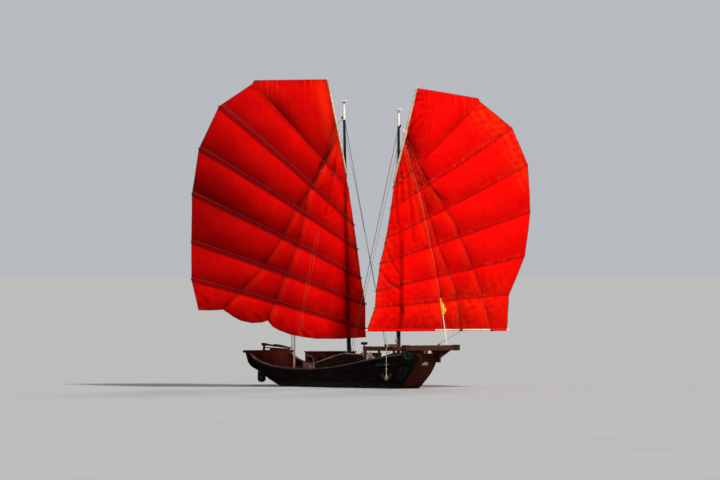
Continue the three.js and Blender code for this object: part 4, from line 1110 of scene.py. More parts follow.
def make_yard(sail):
    """The pale yard, and the lacing that holds the head of the cloth to it."""
    (u0, z0), (u1, z1) = sail["yard"]
    short = YARD_SHORTER / math.hypot(u1 - u0, z1 - z0)
    u1, z1 = u1 - short * (u1 - u0), z1 - short * (z1 - z0)
    y = sail["side"] * (STAND_OFF + CLOTH / 2)
    path = spaced([(u0, y, z0), (u1, y, z1)], 0.12)
    size = 1.0 - 0.35 * np.abs(2 * np.linspace(0, 1, len(path)) - 0.9) ** 2
    name = sail["name"] + "_yard"
    aloft(sail, name + "_pole", pole(path, 0.046, 20, size), PALE_POLE, "pale_spar", name)
    turns = []
    way = (path[-1] - path[0]) / np.linalg.norm(path[-1] - path[0])
    aside = np.cross(way, (0, 1.0, 0))
    at = np.linspace(0, TURN, 26, endpoint=False)
    for place in np.linspace(0.04, 0.96, 17):
        middle = path[0] + (path[-1] - path[0]) * place + aside * 0.012
        loop = middle + 0.052 * (np.cos(at)[:, None] * aside + np.sin(at)[:, None] * np.array((0, 1.0, 0)))
        turns.append(laid_rope(loop + way * (0.02 * np.sin(at / 2))[:, None], 0.006, closed=True))
    aloft(sail, name + "_lacing", gather(turns), PALE_ROPE, "pale_rope")


def make_foot_sleeves(sail, material):
    """The hem that holds the boom: cloth round it, open where the boom shows."""
    y = sail["side"] * (STAND_OFF + CLOTH / 2)
    parts = []
    for start, end in SLEEVES:
        u = np.linspace(start, end, int((end - start) / 0.05))
        path = np.stack([u, 0 * u + y, 0 * u + 2.474], axis=1)
        swell = 1 + 0.06 * np.sin(TURN * u / 0.31 + 2 * np.sin(3 * u))
        parts.append(sweep(path, ring_section(0.051, 20), grow=swell))
    sleeves = gather(parts)
    made = aloft(sail, sail["name"] + "_foot_sleeves", sleeves, material, "sailcloth")
    give_cloth_map(made, sleeves[0])
    return made


def make_lifts(title, sail, paths, material, radius, slot):
    """Lines that run down over the cloth."""
    for k, path in enumerate(paths):
        points = surface_path(sail, path, 0.006 + radius)
        rope(f"{title}_{k + 1}", into_boat(sail, points[::2]), radius, material, sail["body"], slot)


for chosen, cloth in ((SAILS["main"], MAIN_CLOTH), (SAILS["fore"], FORE_CLOTH)):
    sail_piece = make_cloth(chosen, cloth)
    sewn_on = [make_foot_sleeves(chosen, cloth)] if chosen["name"] == "fore" else []
    sewn_on.append(make_edges(chosen))
    make_battens(chosen)
    make_yard(chosen)
    round(cloth_area(chosen) * HEMS, 1)
# Light lines that run down the mainsail, as distance aft of the mast and height
MAIN_LINES = (((1.44, 6.67), (1.9, 4.46), (2.36, 2.25)), ((1.31, 6.67), (1.78, 4.46), (2.26, 2.25)))
for title, owner, paths, stuff, thick, where in (
    ("fore_lift", "fore", FORE_LIFTS[:2], ORANGE_ROPE, 0.006, "dark_rope"),
    ("fore_line", "fore", FORE_LIFTS[2:], PINK_ROPE, 0.008, "pale_rope"),
    ("main_lift", "main", MAIN_LIFTS, RED_ROPE, 0.006, "dark_rope"),
    ("main_line", "main", MAIN_LINES, ORANGE_ROPE, 0.009, "pale_rope"),
):
    make_lifts(title, SAILS[owner], paths, stuff, thick, where)
boom_path = spaced([(u, -(STAND_OFF + CLOTH / 2), z) for u, z in BOOM], 0.15)
# The boom's wood is painted lighter than the yards' to stand in for sunlight.
aloft(SAILS["fore"], "fore_boom_pole", pole(boom_path, BOOM_RADIUS, 20), BOOM_POLE_LIT, "pale_spar", "fore_boom")


# Hull: planks over the same sections as the solid

# Strakes on each side, and sections along the hull
STRAKES = 12
HULL_RINGS = 96


def side_points(share, grow, planked):
    """One side of a section, sheer to keel: distance out and height, with a sunk joint between strakes."""
    half, sheer, keel, fullness = station_at(share)
    angle = np.linspace(0, math.pi / 2, 240)
    out = np.cos(angle).clip(0) ** (2 / fullness) * (half + grow)
    z = sheer - np.sin(angle) ** (2 / fullness) * (sheer - keel + grow)
    girth = np.concatenate([[0], np.cumsum(np.hypot(np.diff(out), np.diff(z)))])
    marks, depth = [], []
    for k in range(STRAKES):
        for place, rise in ((0.0, -0.010), (0.05, 0.0), (0.35, 0.004), (0.65, 0.004), (0.95, 0.0)):
            marks.append((k + place) / STRAKES)
            depth.append(rise if planked and k + place > 0 else 0.0)
    marks, depth = np.array([*marks, 1.0]), np.array([*depth, 0.0])
    at = marks * girth[-1]
    o, h = np.interp(at, girth, out), np.interp(at, girth, z)
    d_out, d_height = np.gradient(o), np.gradient(h)
    long = np.hypot(d_out, d_height)
    o, h = o - d_height / long * depth, h + d_out / long * depth
    o[-1] = 0.0
    return o, h


def ring_points(share, grow, planked):
    o, h = side_points(share, grow, planked)
    sheer = station_at(share)[1]
    x = np.array([hull_x(share, min(z, sheer), grow) for z in h])
    port = np.stack([x, o, h], axis=1)
    starboard = np.stack([x, -o, h], axis=1)[::-1][1:]
    return np.vstack([port, starboard])


def make_hull():
    shares = np.linspace(0, 1, HULL_RINGS + 1)
    outer = [ring_points(s, 0.0, True) for s in shares]
    inner = [ring_points(s, -PLANKING, False) for s in shares]
    n, m = len(outer), len(outer[0])
    faces, stuff = [], []

    def add(some, material):
        faces.extend(some)
        stuff.extend([material] * len(some))

    for base, side, bow in ((0, 0, 2), (n * m, 1, 1)):
        add(grid_faces(n - 1, m - 1, base), side)
        for start, end in ((base, side), (base + (n - 1) * m, bow)):
            pairs = [(start + k, start + m - 1 - k) for k in range(m // 2)]
            add([(a, a + 1, b) if a + 1 == b - 1 else (a, a + 1, b - 1, b) for a, b in pairs], end)
    rim = [(i * m + k, (i + 1) * m + k) for i in range(n - 1) for k in (0, m - 1)]
    rim += [(i * m, i * m + m - 1) for i in (0, n - 1)]
    add([(a, b, n * m + b, n * m + a) for a, b in rim], 0)
    stuffs = [TARRED, INNER, PANEL_WOOD]
    made = piece("hull_planking", np.vstack([*outer, *inner]), faces, stuffs, "hull", "tarred_planking")
    made.data.polygons.foreach_set("material_index", stuff)
    made.data.set_sharp_from_angle(angle=math.radians(35))
    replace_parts(even(made), "hull_shell")


make_hull()


# Bow panel: boards laid across the flat raked bow, between two edge timbers

def make_bow_panel():
    proud, boards = 0.022, []
    edges = np.linspace(-0.2, 1.49, 12)
    for low, high in zip(edges, edges[1:]):
        heights = (low + 0.004, (low + high) / 2, high - 0.004)
        ring = [(bow_at(z)[0], breadth_at(1.0, z) - 0.006, z) for z in heights]
        points = [
            (x + lift * 0.85, side * (wide - (0.008 if lift > 0 else 0)), z - lift * 0.45)
            for lift in (-0.004, proud) for side in (-1, 1) for x, wide, z in ring
        ]
        faces = [
            (0, 1, 4, 3), (1, 2, 5, 4), (6, 9, 10, 7), (7, 10, 11, 8),
            (0, 3, 9, 6), (2, 8, 11, 5), (0, 6, 7, 1), (1, 7, 8, 2), (3, 4, 10, 9), (4, 5, 11, 10),
        ]
        boards.append((points, faces))
    even(joined("bow_boards", boards, PANEL_WOOD, "red_brown_timber", smooth=False))


make_bow_panel()


# Masts: turned poles with their iron bands and trucks

# A truck: distance below the masthead, radius
TRUCK_PROFILE = ((0.062, 0.06), (0.056, 0.12), (0.040, 0.165), (0.015, 0.172), (0.004, 0.15), (0.001, 0.05))


def mast_axis(mast, z):
    return np.array([mast["x"] - math.tan(math.radians(mast["rake"])) * (z - mast["foot"]), 0.0, z])


def mast_radius(mast, z):
    taper = (mast["head_radius"] - mast["deck_radius"]) * (z - mast["foot"]) / (mast["head"] - mast["foot"])
    return mast["deck_radius"] + taper


def make_mast(name, mast):
    low = min(corner[2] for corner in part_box(name + "_mast"))
    z = np.linspace(low + 0.005, mast["head"] - 0.06, 90)
    path = np.array([mast_axis(mast, v) for v in z])
    size = np.array([mast_radius(mast, v) for v in z]) / mast["deck_radius"]
    paint = mast_paint(name + "_mast_paint", mast["white_from"])
    spar = pole(path, mast["deck_radius"], 32, size)
    piece(name + "_mast_pole", *spar, paint, "hull", "black_spar", replaces=name + "_mast")
    bands = []
    for height in (mast["foot"] + 0.9, mast["white_from"] - 0.04):
        ring = np.array([mast_axis(mast, height + d) for d in (-0.03, -0.026, 0.026, 0.03)])
        bands.append(pole(ring, mast_radius(mast, height) + 0.004, 32, [0.9, 1.0, 1.0, 0.9]))
    joined(name + "_mast_bands", bands, BLACK, "black_spar")
    path = np.array([mast_axis(mast, mast["head"] - down) for down, _ in TRUCK_PROFILE])
    truck = pole(path, 1.0, 32, [r for _, r in TRUCK_PROFILE])
    piece(name + "_truck", *truck, WHITE, "hull", "black_spar", replaces=name + "_mast_cap")


for mast_name, mast_row in MASTS.items():
    make_mast(mast_name, mast_row)


# Inside of the hull: deck boards, frames, a shelf under the rail and thwarts

BOARD = 0.16
SEAM = 0.006
BOARD_PROUD = 0.0015


def boards_along(name, from_x, to_x, top):
    """Boards laid fore and aft between the sides, butted at different places in each row."""
    chance = np.random.RandomState(5)
    parts = []
    for row in range(-10, 10):
        middle = (row + 0.5) * BOARD
        far = abs(middle) + BOARD / 2
        clear = [x for x in np.linspace(from_x, to_x, 240) if inner_half(x, top(x)) > far - 0.001]
        if len(clear) < 4:
            continue
        start = clear[0]
        while start < clear[-1] - 0.05:
            end = min(clear[-1], start + chance.uniform(1.3, 2.4))
            line = np.linspace(start, end - SEAM / 2, 6)
            path = [(x, middle, top(x) + BOARD_PROUD - 0.005) for x in line]
            parts.append(strip(path, BOARD - SEAM, 0.010))
            start = end
    joined(name, parts, DECK, "deck_planking", smooth=False)


def make_inside():
    boards_along("main_deck_boards", -5.15, DECK_STEP_X - 0.04, lambda x: MAIN_DECK_TOP)
    boards_along("fore_deck_boards", DECK_STEP_X + 0.005, 4.93, fore_deck_top)

    def at_side(side, share, z, inward):
        return hull_x(share, z, -PLANKING), side * (breadth_at(share, z, -PLANKING) - inward), z

    frames, shelves = [], []
    for side in (-1, 1):
        for share in np.arange(0.05, 0.66, 0.038):
            heights = np.linspace(station_at(share)[1] - 0.012, MAIN_DECK_TOP + 0.004, 8)
            frames.append(strip([at_side(side, share, z, 0.018) for z in heights], 0.045, 0.045))
        shares = np.linspace(0.04, 0.66, 40)
        shelf = [at_side(side, share, station_at(share)[1] - 0.085, 0.052) for share in shares]
        shelves.append(strip(shelf, 0.03, 0.07))
    joined("side_frames", frames, RED_WOOD, "red_brown_timber", smooth=False)
    joined("rail_shelves", shelves, RED_WOOD, "red_brown_timber", smooth=False)
    seats = []
    for x in (-3.7, -4.75):
        z = station_at(share_at(x, 0.9))[1] - 0.12
        reach = inner_half(x, z) - 0.012
        seats.append(((x - 0.12, -reach, z - 0.045), (x + 0.12, reach, z)))
    timbers("thwarts", seats, RAIL_PLANK, "weathered_rail")
    slats = []
    for z in np.arange(0.66, 1.36, 0.11):
        x = stern_at(z + 0.05)[0] + PLANKING
        reach = breadth_at(0.0, z + 0.05, -PLANKING) - 0.08
        slats.append(((x - 0.004, -reach, z), (x + 0.022, reach, z + 0.104)))
    timbers("transom_lining", slats, INNER, "red_brown_timber")


make_inside()


# Cuddy: upright boards, corner posts, window frames and roof boards

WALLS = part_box("cuddy_walls")
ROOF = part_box("cuddy_roof")
STAVE = 0.14
# Windows: start and end along the boat, bottom and top
WINDOWS = ((-2.13, -1.87, 1.13, 1.28), (-1.43, -1.17, 1.13, 1.28))
DOOR_SIDE = 0.42
FRAME = 0.03


def upright_boards(start, end, low, high, holes=()):
    """Boards side by side, left out where there is a hole: start, end, bottom and top of each."""
    edges = np.linspace(start, end, round((end - start) / STAVE) + 1)
    for a, b in zip(edges + 0.002, edges[1:] - 0.002):
        spans = [(low, high)]
        for hole_start, hole_end, hole_low, hole_high in holes:
            if a < hole_end and b > hole_start:
                spans = [(low, hole_low), (hole_high, high)]
        for bottom, top in spans:
            yield a, b, bottom, top


def make_cuddy():
    (x0, y0, z0), (x1, y1, z1) = WALLS
    low, high, proud, sunk = z0 + 0.004, z1 - 0.004, 0.010, 0.004
    staves, frames = [], []
    for y, out in ((y0, -1), (y1, 1)):
        for a, b, bottom, top in upright_boards(x0, x1, low, high, WINDOWS):
            staves.append(((a, y - out * sunk, bottom), (b, y + out * proud, top)))
        for a, b, bottom, top in WINDOWS:
            inner, outer = y - out * sunk, y + out * 2.2 * proud
            for z in (bottom - FRAME, top):
                frames.append(((a - FRAME, inner, z), (b + FRAME, outer, z + FRAME)))
            for x in (a - FRAME, b):
                frames.append(((x, inner, bottom - 0.004), (x + FRAME, outer, top + 0.004)))
    for start, end, near, far in (
        (y0, y1, x1 - sunk, x1 + proud),
        (y0, -DOOR_SIDE, x0 - proud, x0 + sunk),
        (DOOR_SIDE, y1, x0 - proud, x0 + sunk),
    ):
        for a, b, bottom, top in upright_boards(start, end, low, high):
            staves.append(((near, a, bottom), (far, b, top)))
    posts = [((x - 0.025, y - 0.025, low), (x + 0.025, y + 0.025, high)) for x in (x0, x1) for y in (y0, y1)]
    timbers("cuddy_staves", staves, STAVES, "red_brown_timber", edge=0.003)
    timbers("cuddy_window_frames", frames, RED_WOOD, "red_brown_timber", edge=0.004)
    timbers("cuddy_posts", posts, DARK_WOOD, "red_brown_timber", edge=0.008)
    (back, left, _), (front, right, top) = ROOF
    edges = np.linspace(left, right, 11)
    boards = [((back, a + 0.003, top - 0.010), (front, b - 0.003, top + BOARD_PROUD))
              for a, b in zip(edges, edges[1:])]
    timbers("cuddy_roof_boards", boards, GREY_WOOD, "deck_planking", edge=0.001)


make_cuddy()


# Bow: edge timbers, the painted marks and the frames on the ends of the beam

CHEEK_OUT = 0.09
PANEL_OUT = 0.024
EYE = (4.75, 1.475)
# Rings and discs of the eye: name, how far forward, half axes, the same for a hole, finish, slot, height
EYE_PARTS = (
    ("ring", 0.0, (0.265, 0.235), 0.02, (0.150, 0.135), GREEN, "weathered_rail", 0.012),
    ("rim", 0.0, (0.272, 0.242), 0.0, (0.264, 0.234), DARK_GREEN, "weathered_rail", 0.015),
    ("iris", 0.04, (0.085, 0.085), 0.0, None, EYE_BROWN, "weathered_rail", 0.014),
    ("pupil", 0.045, (0.035, 0.035), 0.0, None, BLACK, "black_spar", 0.018),
)
# Stripes on the bow: name, where they start and end as shares of the length, finish
STRIPES = (("red", 0.944, 0.962, DARK_RED), ("green", 0.968, 0.988, DARK_GREEN))
# The after face of the bow beam, and the heights between which its end blocks are framed
BEAM_BACK = 5.164
BEAM_END_HEIGHTS = (1.628, 1.862)


def on_cheek(side):
    return lambda x, z, rise: (x, side * (station_at(sheer_share(x))[0] + CHEEK_OUT + rise), z)


def on_side(side):
    return lambda share, z, rise: (hull_x(share, z), side * (breadth_at(share, z) + rise), z)


def on_wale(side):
    return lambda share, z, rise: on_side(side)(share, z, rise + 0.045)


def on_panel(y, z, rise):
    return bow_at(z)[0] + PANEL_OUT + 0.88 * rise, y, z - 0.45 * rise


def make_marks():
    for side, where in ((-1, "starboard"), (1, "port")):
        cheek, planks, wale = on_cheek(side), on_side(side), on_wale(side)
        board = ((1.222, 4.41, 5.02), (1.68, 4.41, 5.02))
        patch("cheek_board_" + where, board, cheek, TARRED, "tarred_planking", 0.003)
        for name, shift, half, hole_shift, hole, material, slot, rise in EYE_PARTS:
            hole = hole and oval((EYE[0] + hole_shift, EYE[1]), hole)
            disc = oval((EYE[0] + shift, EYE[1]), half)
            plate(f"eye_{name}_{where}", disc, cheek, material, slot, hole, rise)
        wide = ((0.956, 0.838, 0.866), (1.0, 0.833, 0.870), (1.056, 0.836, 0.868))
        patch("wale_patch_" + where, wide, wale, GREEN, "tarred_planking", 0.006)
        narrow = ((1.066, 0.838, 0.866), (1.11, 0.846, 0.858))
        patch("side_patch_" + where, narrow, planks, GREEN, "tarred_planking")
        for name, start, end, material in STRIPES:
            rows = ((0.30, start, end), (1.19, start, end))
            patch(f"bow_stripe_{name}_{where}", rows, planks, material, "tarred_planking", 0.009, 4, 16)
        for k, (share, z, size) in enumerate(((0.874, 1.015, 0.024), (0.892, 1.02, 0.030))):
            plug = oval((share, z), (size / 9.9, size), 20)
            plate(f"side_plug_{k + 1}_{where}", plug, wale, RAIL, "weathered_rail", rise=0.012)
    moon = oval((0.02, 1.005), (0.17, 0.14), 26, 0.0, math.pi)
    plate("bow_moon", moon, on_panel, CREAM, "weathered_rail", rise=0.010)
    heights = np.linspace(-0.12, 1.43, 24)
    edges = []
    for side in (-1, 1):
        path = [(bow_at(z)[0] + 0.012, side * (breadth_at(1.0, z) - 0.022), z) for z in heights]
        edges.append(strip(path, 0.055, 0.055))
    joined("bow_edge_timbers", edges, DARK_WOOD, "red_brown_timber", smooth=False)
    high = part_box("bow_beam")[1]
    bottom, top = BEAM_END_HEIGHTS
    frames = []
    for side in (-1, 1):
        out, end = side * high.y, side * (high.y - 0.22)
        for x0, x1 in ((high.x - 0.006, high.x + 0.010), (BEAM_BACK - 0.010, BEAM_BACK + 0.006)):
            for y0, inward in ((out, -side), (end, side)):
                frames.append(((x0, y0, bottom), (x1, y0 + inward * 0.035, top)))
            for z0 in (bottom, top - 0.03):
                frames.append(((x0, out, z0), (x1, end, z0 + 0.03)))
    timbers("beam_end_frames", frames, DARK_WOOD, "red_brown_timber", edge=0.004)


make_marks()


# Ground tackle: a grapnel on its rope, lashed to the short beam

ANCHOR_AT = (3.94, -1.33)
ARMS = 4
# An arm of the grapnel: distance out, height
ARM_CURVE = ((0.0, 0.405), (0.08, 0.42), (0.16, 0.475), (0.225, 0.56), (0.262, 0.655))


def turns_round(middle, axis, radius, rope_radius, turns, spread):
    """A rope wound round a bar: turns side by side along the axis."""
    axis = np.array(axis, float) / np.linalg.norm(axis)
    aside = np.cross(axis, (0, 0, 1.0) if abs(axis[2]) < 0.9 else (1.0, 0, 0))
    aside /= np.linalg.norm(aside)
    over = np.cross(axis, aside)
    at = np.linspace(0, TURN * turns, int(22 * turns))
    along = (at / (TURN * turns) - 0.5) * spread
    path = np.array(middle, float) + along[:, None] * axis
    path = path + radius * (np.cos(at)[:, None] * aside + np.sin(at)[:, None] * over)
    return laid_rope(path, rope_radius)


def eye(x, y, z, radius, thickness, steps):
    """An iron eye that stands fore and aft."""
    at = np.linspace(0, TURN, steps, endpoint=False)
    ring = np.stack([x + radius * np.cos(at), 0 * at + y, z + radius * np.sin(at)], axis=1)
    return pole(ring, thickness, 10, closed=True)


def make_anchor():
    x, y = ANCHOR_AT
    bodies = (
        (0.021, 14, ((0.375, 0.8), (0.39, 1.15), (0.45, 1.1), (0.62, 0.95), (0.74, 0.85))),
        (0.078, 24, ((0.362, 0.35), (0.372, 0.75), (0.41, 1.0), (0.47, 0.95), (0.54, 0.68), (0.60, 0.42),
                     (0.615, 0.25))),
    )
    shank = [pole([(x, y, z) for z, _ in profile], radius, sides, [r for _, r in profile])
             for radius, sides, profile in bodies]
    arms = []
    for turn in np.arange(ARMS) * TURN / ARMS:
        curve = spaced([(x + math.cos(turn) * r, y + math.sin(turn) * r, z) for r, z in ARM_CURVE], 0.02)
        size = np.interp(np.linspace(0, 1, len(curve)), (0, 0.6, 0.8, 0.93, 1), (1.0, 0.85, 1.3, 1.0, 0.35))
        arms.append(pole(curve, 0.014, 12, size))
    joined("grapnel_arms", arms, STEEL, "anchor_iron")
    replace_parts(joined("grapnel", shank, IRON, "anchor_iron"), "anchor")
    piece("anchor_ring", *eye(x, y, 0.752, 0.028, 0.007, 30), IRON, "hull", "anchor_iron")
    path = [(x, y, z) for z in (0.765, 1.2, 1.795)]
    line = rope("anchor_line", path, 0.015, PALE_ROPE, "hull", "pale_rope")
    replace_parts(line, "anchor_rope")
    square = lambda v: math.copysign(abs(v) ** 0.45, v)
    lashing = [
        (x + 0.066 * square(math.cos(a)), y + (a / TURN - 1.5) * 0.034, 1.843 + 0.064 * square(math.sin(a)))
        for a in np.linspace(0, TURN * 3, 90)
    ]
    knots = [turns_round((x, y, 0.83), (0, 0, 1), 0.021, 0.008, 4, 0.07), laid_rope(lashing, 0.015)]
    joined("anchor_lashings", knots, PALE_ROPE, "pale_rope")


make_anchor()


# Running and standing rigging that the frame leaves out

FALL_REACH = 0.099
BLOCK_FLATNESS = 0.62
# The upper edge of the washboards: places along the boat, and the heights there
WASHBOARD_TOP = ((-0.88, 0.53, 1.13, 2.2), (1.01, 1.34, 1.45, 1.42))
# A block's shell: distance down, half breadth
BLOCK_PROFILE = ((0.0, 0.012), (0.012, 0.026), (0.045, 0.04), (0.09, 0.04), (0.123, 0.026), (0.135, 0.012))


def pulley(at):
    """A block's wooden shell, hanging down from a point."""
    path = [(at[0], at[1], at[2] - d) for d, _ in BLOCK_PROFILE]
    return sweep(path, ring_section(1.0, 16) * (BLOCK_FLATNESS, 1), grow=[r for _, r in BLOCK_PROFILE])


def make_rigging():
    for name, sling, top, cord in (
        ("main", (0.437, 11.15), (0.10, 11.66), DARK_ROPE),
        ("fore", (0.16, 10.95), (0.03, 11.24), WHITE_ROPE),
    ):
        sail, mast = SAILS[name], MASTS[name]
        yard_y = sail["side"] * (STAND_OFF + CLOTH / 2)
        start = np.array((sling[0], yard_y, sling[1] + 0.05))
        end = np.array((top[0], sail["side"] * 0.11, top[1]))
        (u0, z0), (u1, z1) = sail["yard"]
        parts = [
            laid_rope(spaced([start + (0, 0, 0.004), end - (0, 0, 0.12)], 0.024), 0.011),
            turns_round((sling[0], yard_y, sling[1]), (u1 - u0, 0, z1 - z0), 0.056, 0.010, 5, 0.13),
        ]
        aloft(sail, name + "_halyard", gather(parts), cord, "dark_rope")
        aloft(sail, name + "_halyard_block", pulley(end), BLACK, "black_spar")
        for k, angle in enumerate((math.radians(200), math.radians(235))):
            beside = FALL_REACH * np.array((math.cos(angle), math.sin(angle), 0))
            path = [mast_axis(mast, z) + beside for z in np.linspace(mast["foot"] + 1.0, 10.7 - 0.5 * k, 40)]
            rope(f"{name}_fall_{k + 1}", path, 0.005, PALE_ROPE, "hull", "pale_rope", 3.0)
        foot, base = (mast_axis(mast, mast["foot"] + up) for up in (0.85, 0.17))
        radius = mast["deck_radius"]
        cleat = block(foot - (0.022, radius + 0.08, 0.10), foot + (0.022, 0.012 - radius, 0.10), 0.012)
        piece(name + "_cleat", *cleat, RAIL, "hull", "weathered_rail", smooth=False)
        wraps = [turns_round(foot - (0, radius + 0.04, d), (0, 0, 1), 0.036, 0.007, 3, 0.05)
                 for d in (-0.045, 0.045)]
        wraps.append(turns_round(base, (0, 0, 1), radius + 0.012, 0.011, 5, 0.11))
        joined(name + "_mast_lashings", wraps, PALE_ROPE, "pale_rope")


def make_stays():
    """Eyes and lashings at the feet of the stays, and a second, lighter stay beside each."""
    for name, side, feet_x, head_z in (("main", 1, (0.5, 0.66), 10.7), ("fore", -1, (1.52, 1.66), 10.2)):
        mast = MASTS[name]
        feet = [(x, side * (station_at(sheer_share(x))[0] - 0.04), np.interp(x, *WASHBOARD_TOP) + 0.049)
                for x in feet_x]
        start = mast_axis(mast, head_z) + (0, side * (mast_radius(mast, head_z) + 0.016), 0)
        rope(name + "_light_stay", [start, feet[1]], 0.007, DARK_ROPE, "hull", "dark_rope", 3.0)
        fittings = []
        for x, y, z in feet:
            fittings.append(eye(x, y, z - 0.012, 0.026, 0.006, 24))
            base = block((x - 0.035, y - 0.022, z - 0.054), (x + 0.035, y + 0.022, z - 0.036), 0.004)
            fittings.append(base)
            way = start - np.array((x, y, z))
            way /= np.linalg.norm(way)
            path = [np.array((x, y, z)) + way * d for d in (0.03, 0.05, 0.17, 0.19)]
            fittings.append(pole(path, 0.016, 12, [0.7, 1, 0.9, 0.6]))
        joined(name + "_stay_fittings", fittings, STEEL, "anchor_iron")


make_rigging()
make_stays()


# Foresail boom: its lashings, and the sheet from it to the bow beam

SHEET_ON_BOOM = (2.80, 2.50)
SHEET_FOOT = (5.3, 0.43, 1.856)


def make_sheet():
    sail = SAILS["fore"]
    y = sail["side"] * (STAND_OFF + CLOTH / 2)
    u, height = SHEET_ON_BOOM
    lashings = [turns_round((at, y, 2.473), (1, 0, 0), 0.050, 0.009, 6, 0.13) for at in (u, 4.23)]
    aloft(sail, "boom_lashings", gather(lashings), DARK_ROPE, "dark_rope")
    start = into_boat(sail, [(u, y, height - 0.076)])[0]
    end = np.array(SHEET_FOOT) + (0, 0, 0.04)
    line = piece("fore_sheet", *laid_rope(spaced([start, end], 0.02), 0.010), DARK_ROPE, None)
    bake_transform(line)
    x, y, z = SHEET_FOOT
    ends = [block((x - 0.02, y - 0.09, z + 0.025), (x + 0.02, y + 0.09, z + 0.05), 0.006)]
    ends.append(block((x - 0.016, y - 0.03, z - 0.004), (x + 0.016, y + 0.03, z + 0.03), 0.004))
    joined("sheet_cleat", ends, STEEL, "anchor_iron", smooth=False)


make_sheet()


# Pennant at the top of its staff

# Its outline: share of the way down, then its two edges, as distance from the staff
PENNANT_TABLE = ((0.0, -0.016, 0.006), (0.2, -0.034, 0.064), (0.45, -0.042, 0.135), (0.66, -0.044, 0.185),
                 (0.84, -0.036, 0.130), (1.0, -0.016, 0.018))
PENNANT_WAY = math.radians(34)


def make_pennant():
    low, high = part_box("pennant")
    top, foot = high.z + 0.012, low.z - 0.01
    downs, acrosses = 40, 14
    along, away = math.cos(PENNANT_WAY), math.sin(PENNANT_WAY)
    points, spread = [], []
    for t in np.linspace(0, 1, downs + 1):
        z = top + (foot - top) * t
        staff_x = 5.3 - 0.21 * (z - 1.85)
        left, right = (np.interp(t, *zip(*[(row[0], row[k]) for row in PENNANT_TABLE])) for k in (1, 2))
        for p in np.linspace(0, 1, acrosses + 1):
            off = left + (right - left) * p
            wave = 0.012 * math.sin(9 * off / 0.16 + 5 * t) * min(1.0, abs(off) / 0.05) - 0.01 * p
            points.append((staff_x + off * along + 0.024, 0.848 + off * away + wave, z))
            spread.append((off, 0, z))
    made = piece("pennant_sheet", points, grid_faces(downs, acrosses), PENNANT, None)
    made.data.attributes.new("shade", "FLOAT", "POINT")
    finish_cloth(made, np.array(spread), 0.002, "hull", "pennant")
    edges = [(left, t) for t, left, _ in PENNANT_TABLE] + [(right, t) for t, _, right in PENNANT_TABLE[::-1]]
    x, z = np.array(edges).T * ((1,), (top - foot,))


make_pennant()


# On deck: canes, a crate, a bent pipe, a white pole, a thin one and a low fence

CRATE = ((-1.89, -1.30, MAIN_DECK_TOP + 0.004), (-1.42, -1.02, 1.03))


def make_canes():
    """Pale canes that lean on the starboard rail."""
    chance = np.random.RandomState(21)
    canes = []
    for _ in range(26):
        x, lean = chance.uniform(2.1, 2.75), chance.uniform(-0.32, 0.32)
        foot = (x - lean, -1.02 + chance.uniform(-0.06, 0.06), fore_deck_top(x - lean) + 0.016)
        head = (x + 0.6 * lean, -1.22 + chance.uniform(-0.03, 0.03), 1.44 + chance.uniform(0, 0.17))
        middle = (np.array(foot) + head) / 2 + (0, 0.03, 0)
        canes.append(pole(spaced([foot, middle, head], 0.06), chance.uniform(0.009, 0.014), 8))
    joined("canes", canes, PALE_CANE, "pale_spar")


def make_crate():
    (x0, y0, z0), (x1, y1, z1) = CRATE
    post, thick = 0.035, 0.010
    crate = [((x, y, z0), (x + post, y + post, z1)) for x in (x0, x1 - post) for y in (y0, y1 - post)]
    for z in np.arange(z0 + 0.01, z1 - 0.06, 0.085):
        crate += [((x0, y, z), (x1, y + thick, z + 0.07)) for y in (y0 - thick, y1)]
        crate += [((x, y0, z), (x + thick, y1, z + 0.07)) for x in (x0 - thick, x1)]
    crate += [((x, y0, z1), (x + 0.088, y1, z1 + 0.012)) for x in np.arange(x0, x1 - 0.05, 0.095)]
    timbers("crate", crate, RAIL, "weathered_rail", edge=0.003)


def make_poles():
    """The bent pipe, the white pole and the thin one beside it."""
    bend = spaced([(-2.0, -1.0, 1.35), (-1.72, -1.03, 1.33), (-1.45, -1.1, 1.22), (-1.32, -1.16, 1.05),
                   (-1.29, -1.2, 0.84), (-1.29, -1.2, 0.61)], 0.03)
    piece("bent_pipe", *pole(bend, 0.017, 14), GREY_PAINT, "hull", "pale_spar")
    # The white pole's paint is whiter than the white paint elsewhere, as painted light against the sail's
    # shade.
    for name, x, y, radius, material in (
        ("white_pole", -3.03, -0.90, 0.042, WHITE_LIT), ("thin_pole", -3.03 - 0.07, -0.98, 0.016, BAMBOO),
    ):
        path = [(x, y, z) for z in (0.605, 0.62, 1.4, 2.20, 2.22)]
        piece(name, *pole(path, radius, 18, [0.9, 1, 1, 0.95, 0.6]), material, "hull", "pale_spar")


def make_fence():
    """The low fence at the break of the deck."""
    pales, posts = fore_deck_top(1.75) + 0.004, fore_deck_top(1.72) + 0.004
    fence = [((1.735, y, pales), (1.755, y + 0.138, 1.47)) for y in np.arange(-0.93, 0.10, 0.15)]
    fence += [((1.70, y, posts), (1.735, y + 0.04, 1.50)) for y in (-0.95, -0.42, 0.10)]
    fence += [((1.708, -0.95, z), (1.735, 0.14, z + 0.05)) for z in (1.06, 1.38)]
    fence.append(((1.69, -0.96, 1.47), (1.77, 0.15, 1.50)))
    timbers("break_fence", fence, STAVES, "red_brown_timber", edge=0.004)


make_canes()
make_crate()
make_poles()
make_fence()


# Stern: wings from the beam down the sides, and a raised part on the board

# A wing: height, and how far it stands out beyond the hull's side
WING = ((0.70, 0.0), (0.78, 0.10), (0.88, 0.165), (1.00, 0.19), (1.20, 0.16), (1.42, 0.14))


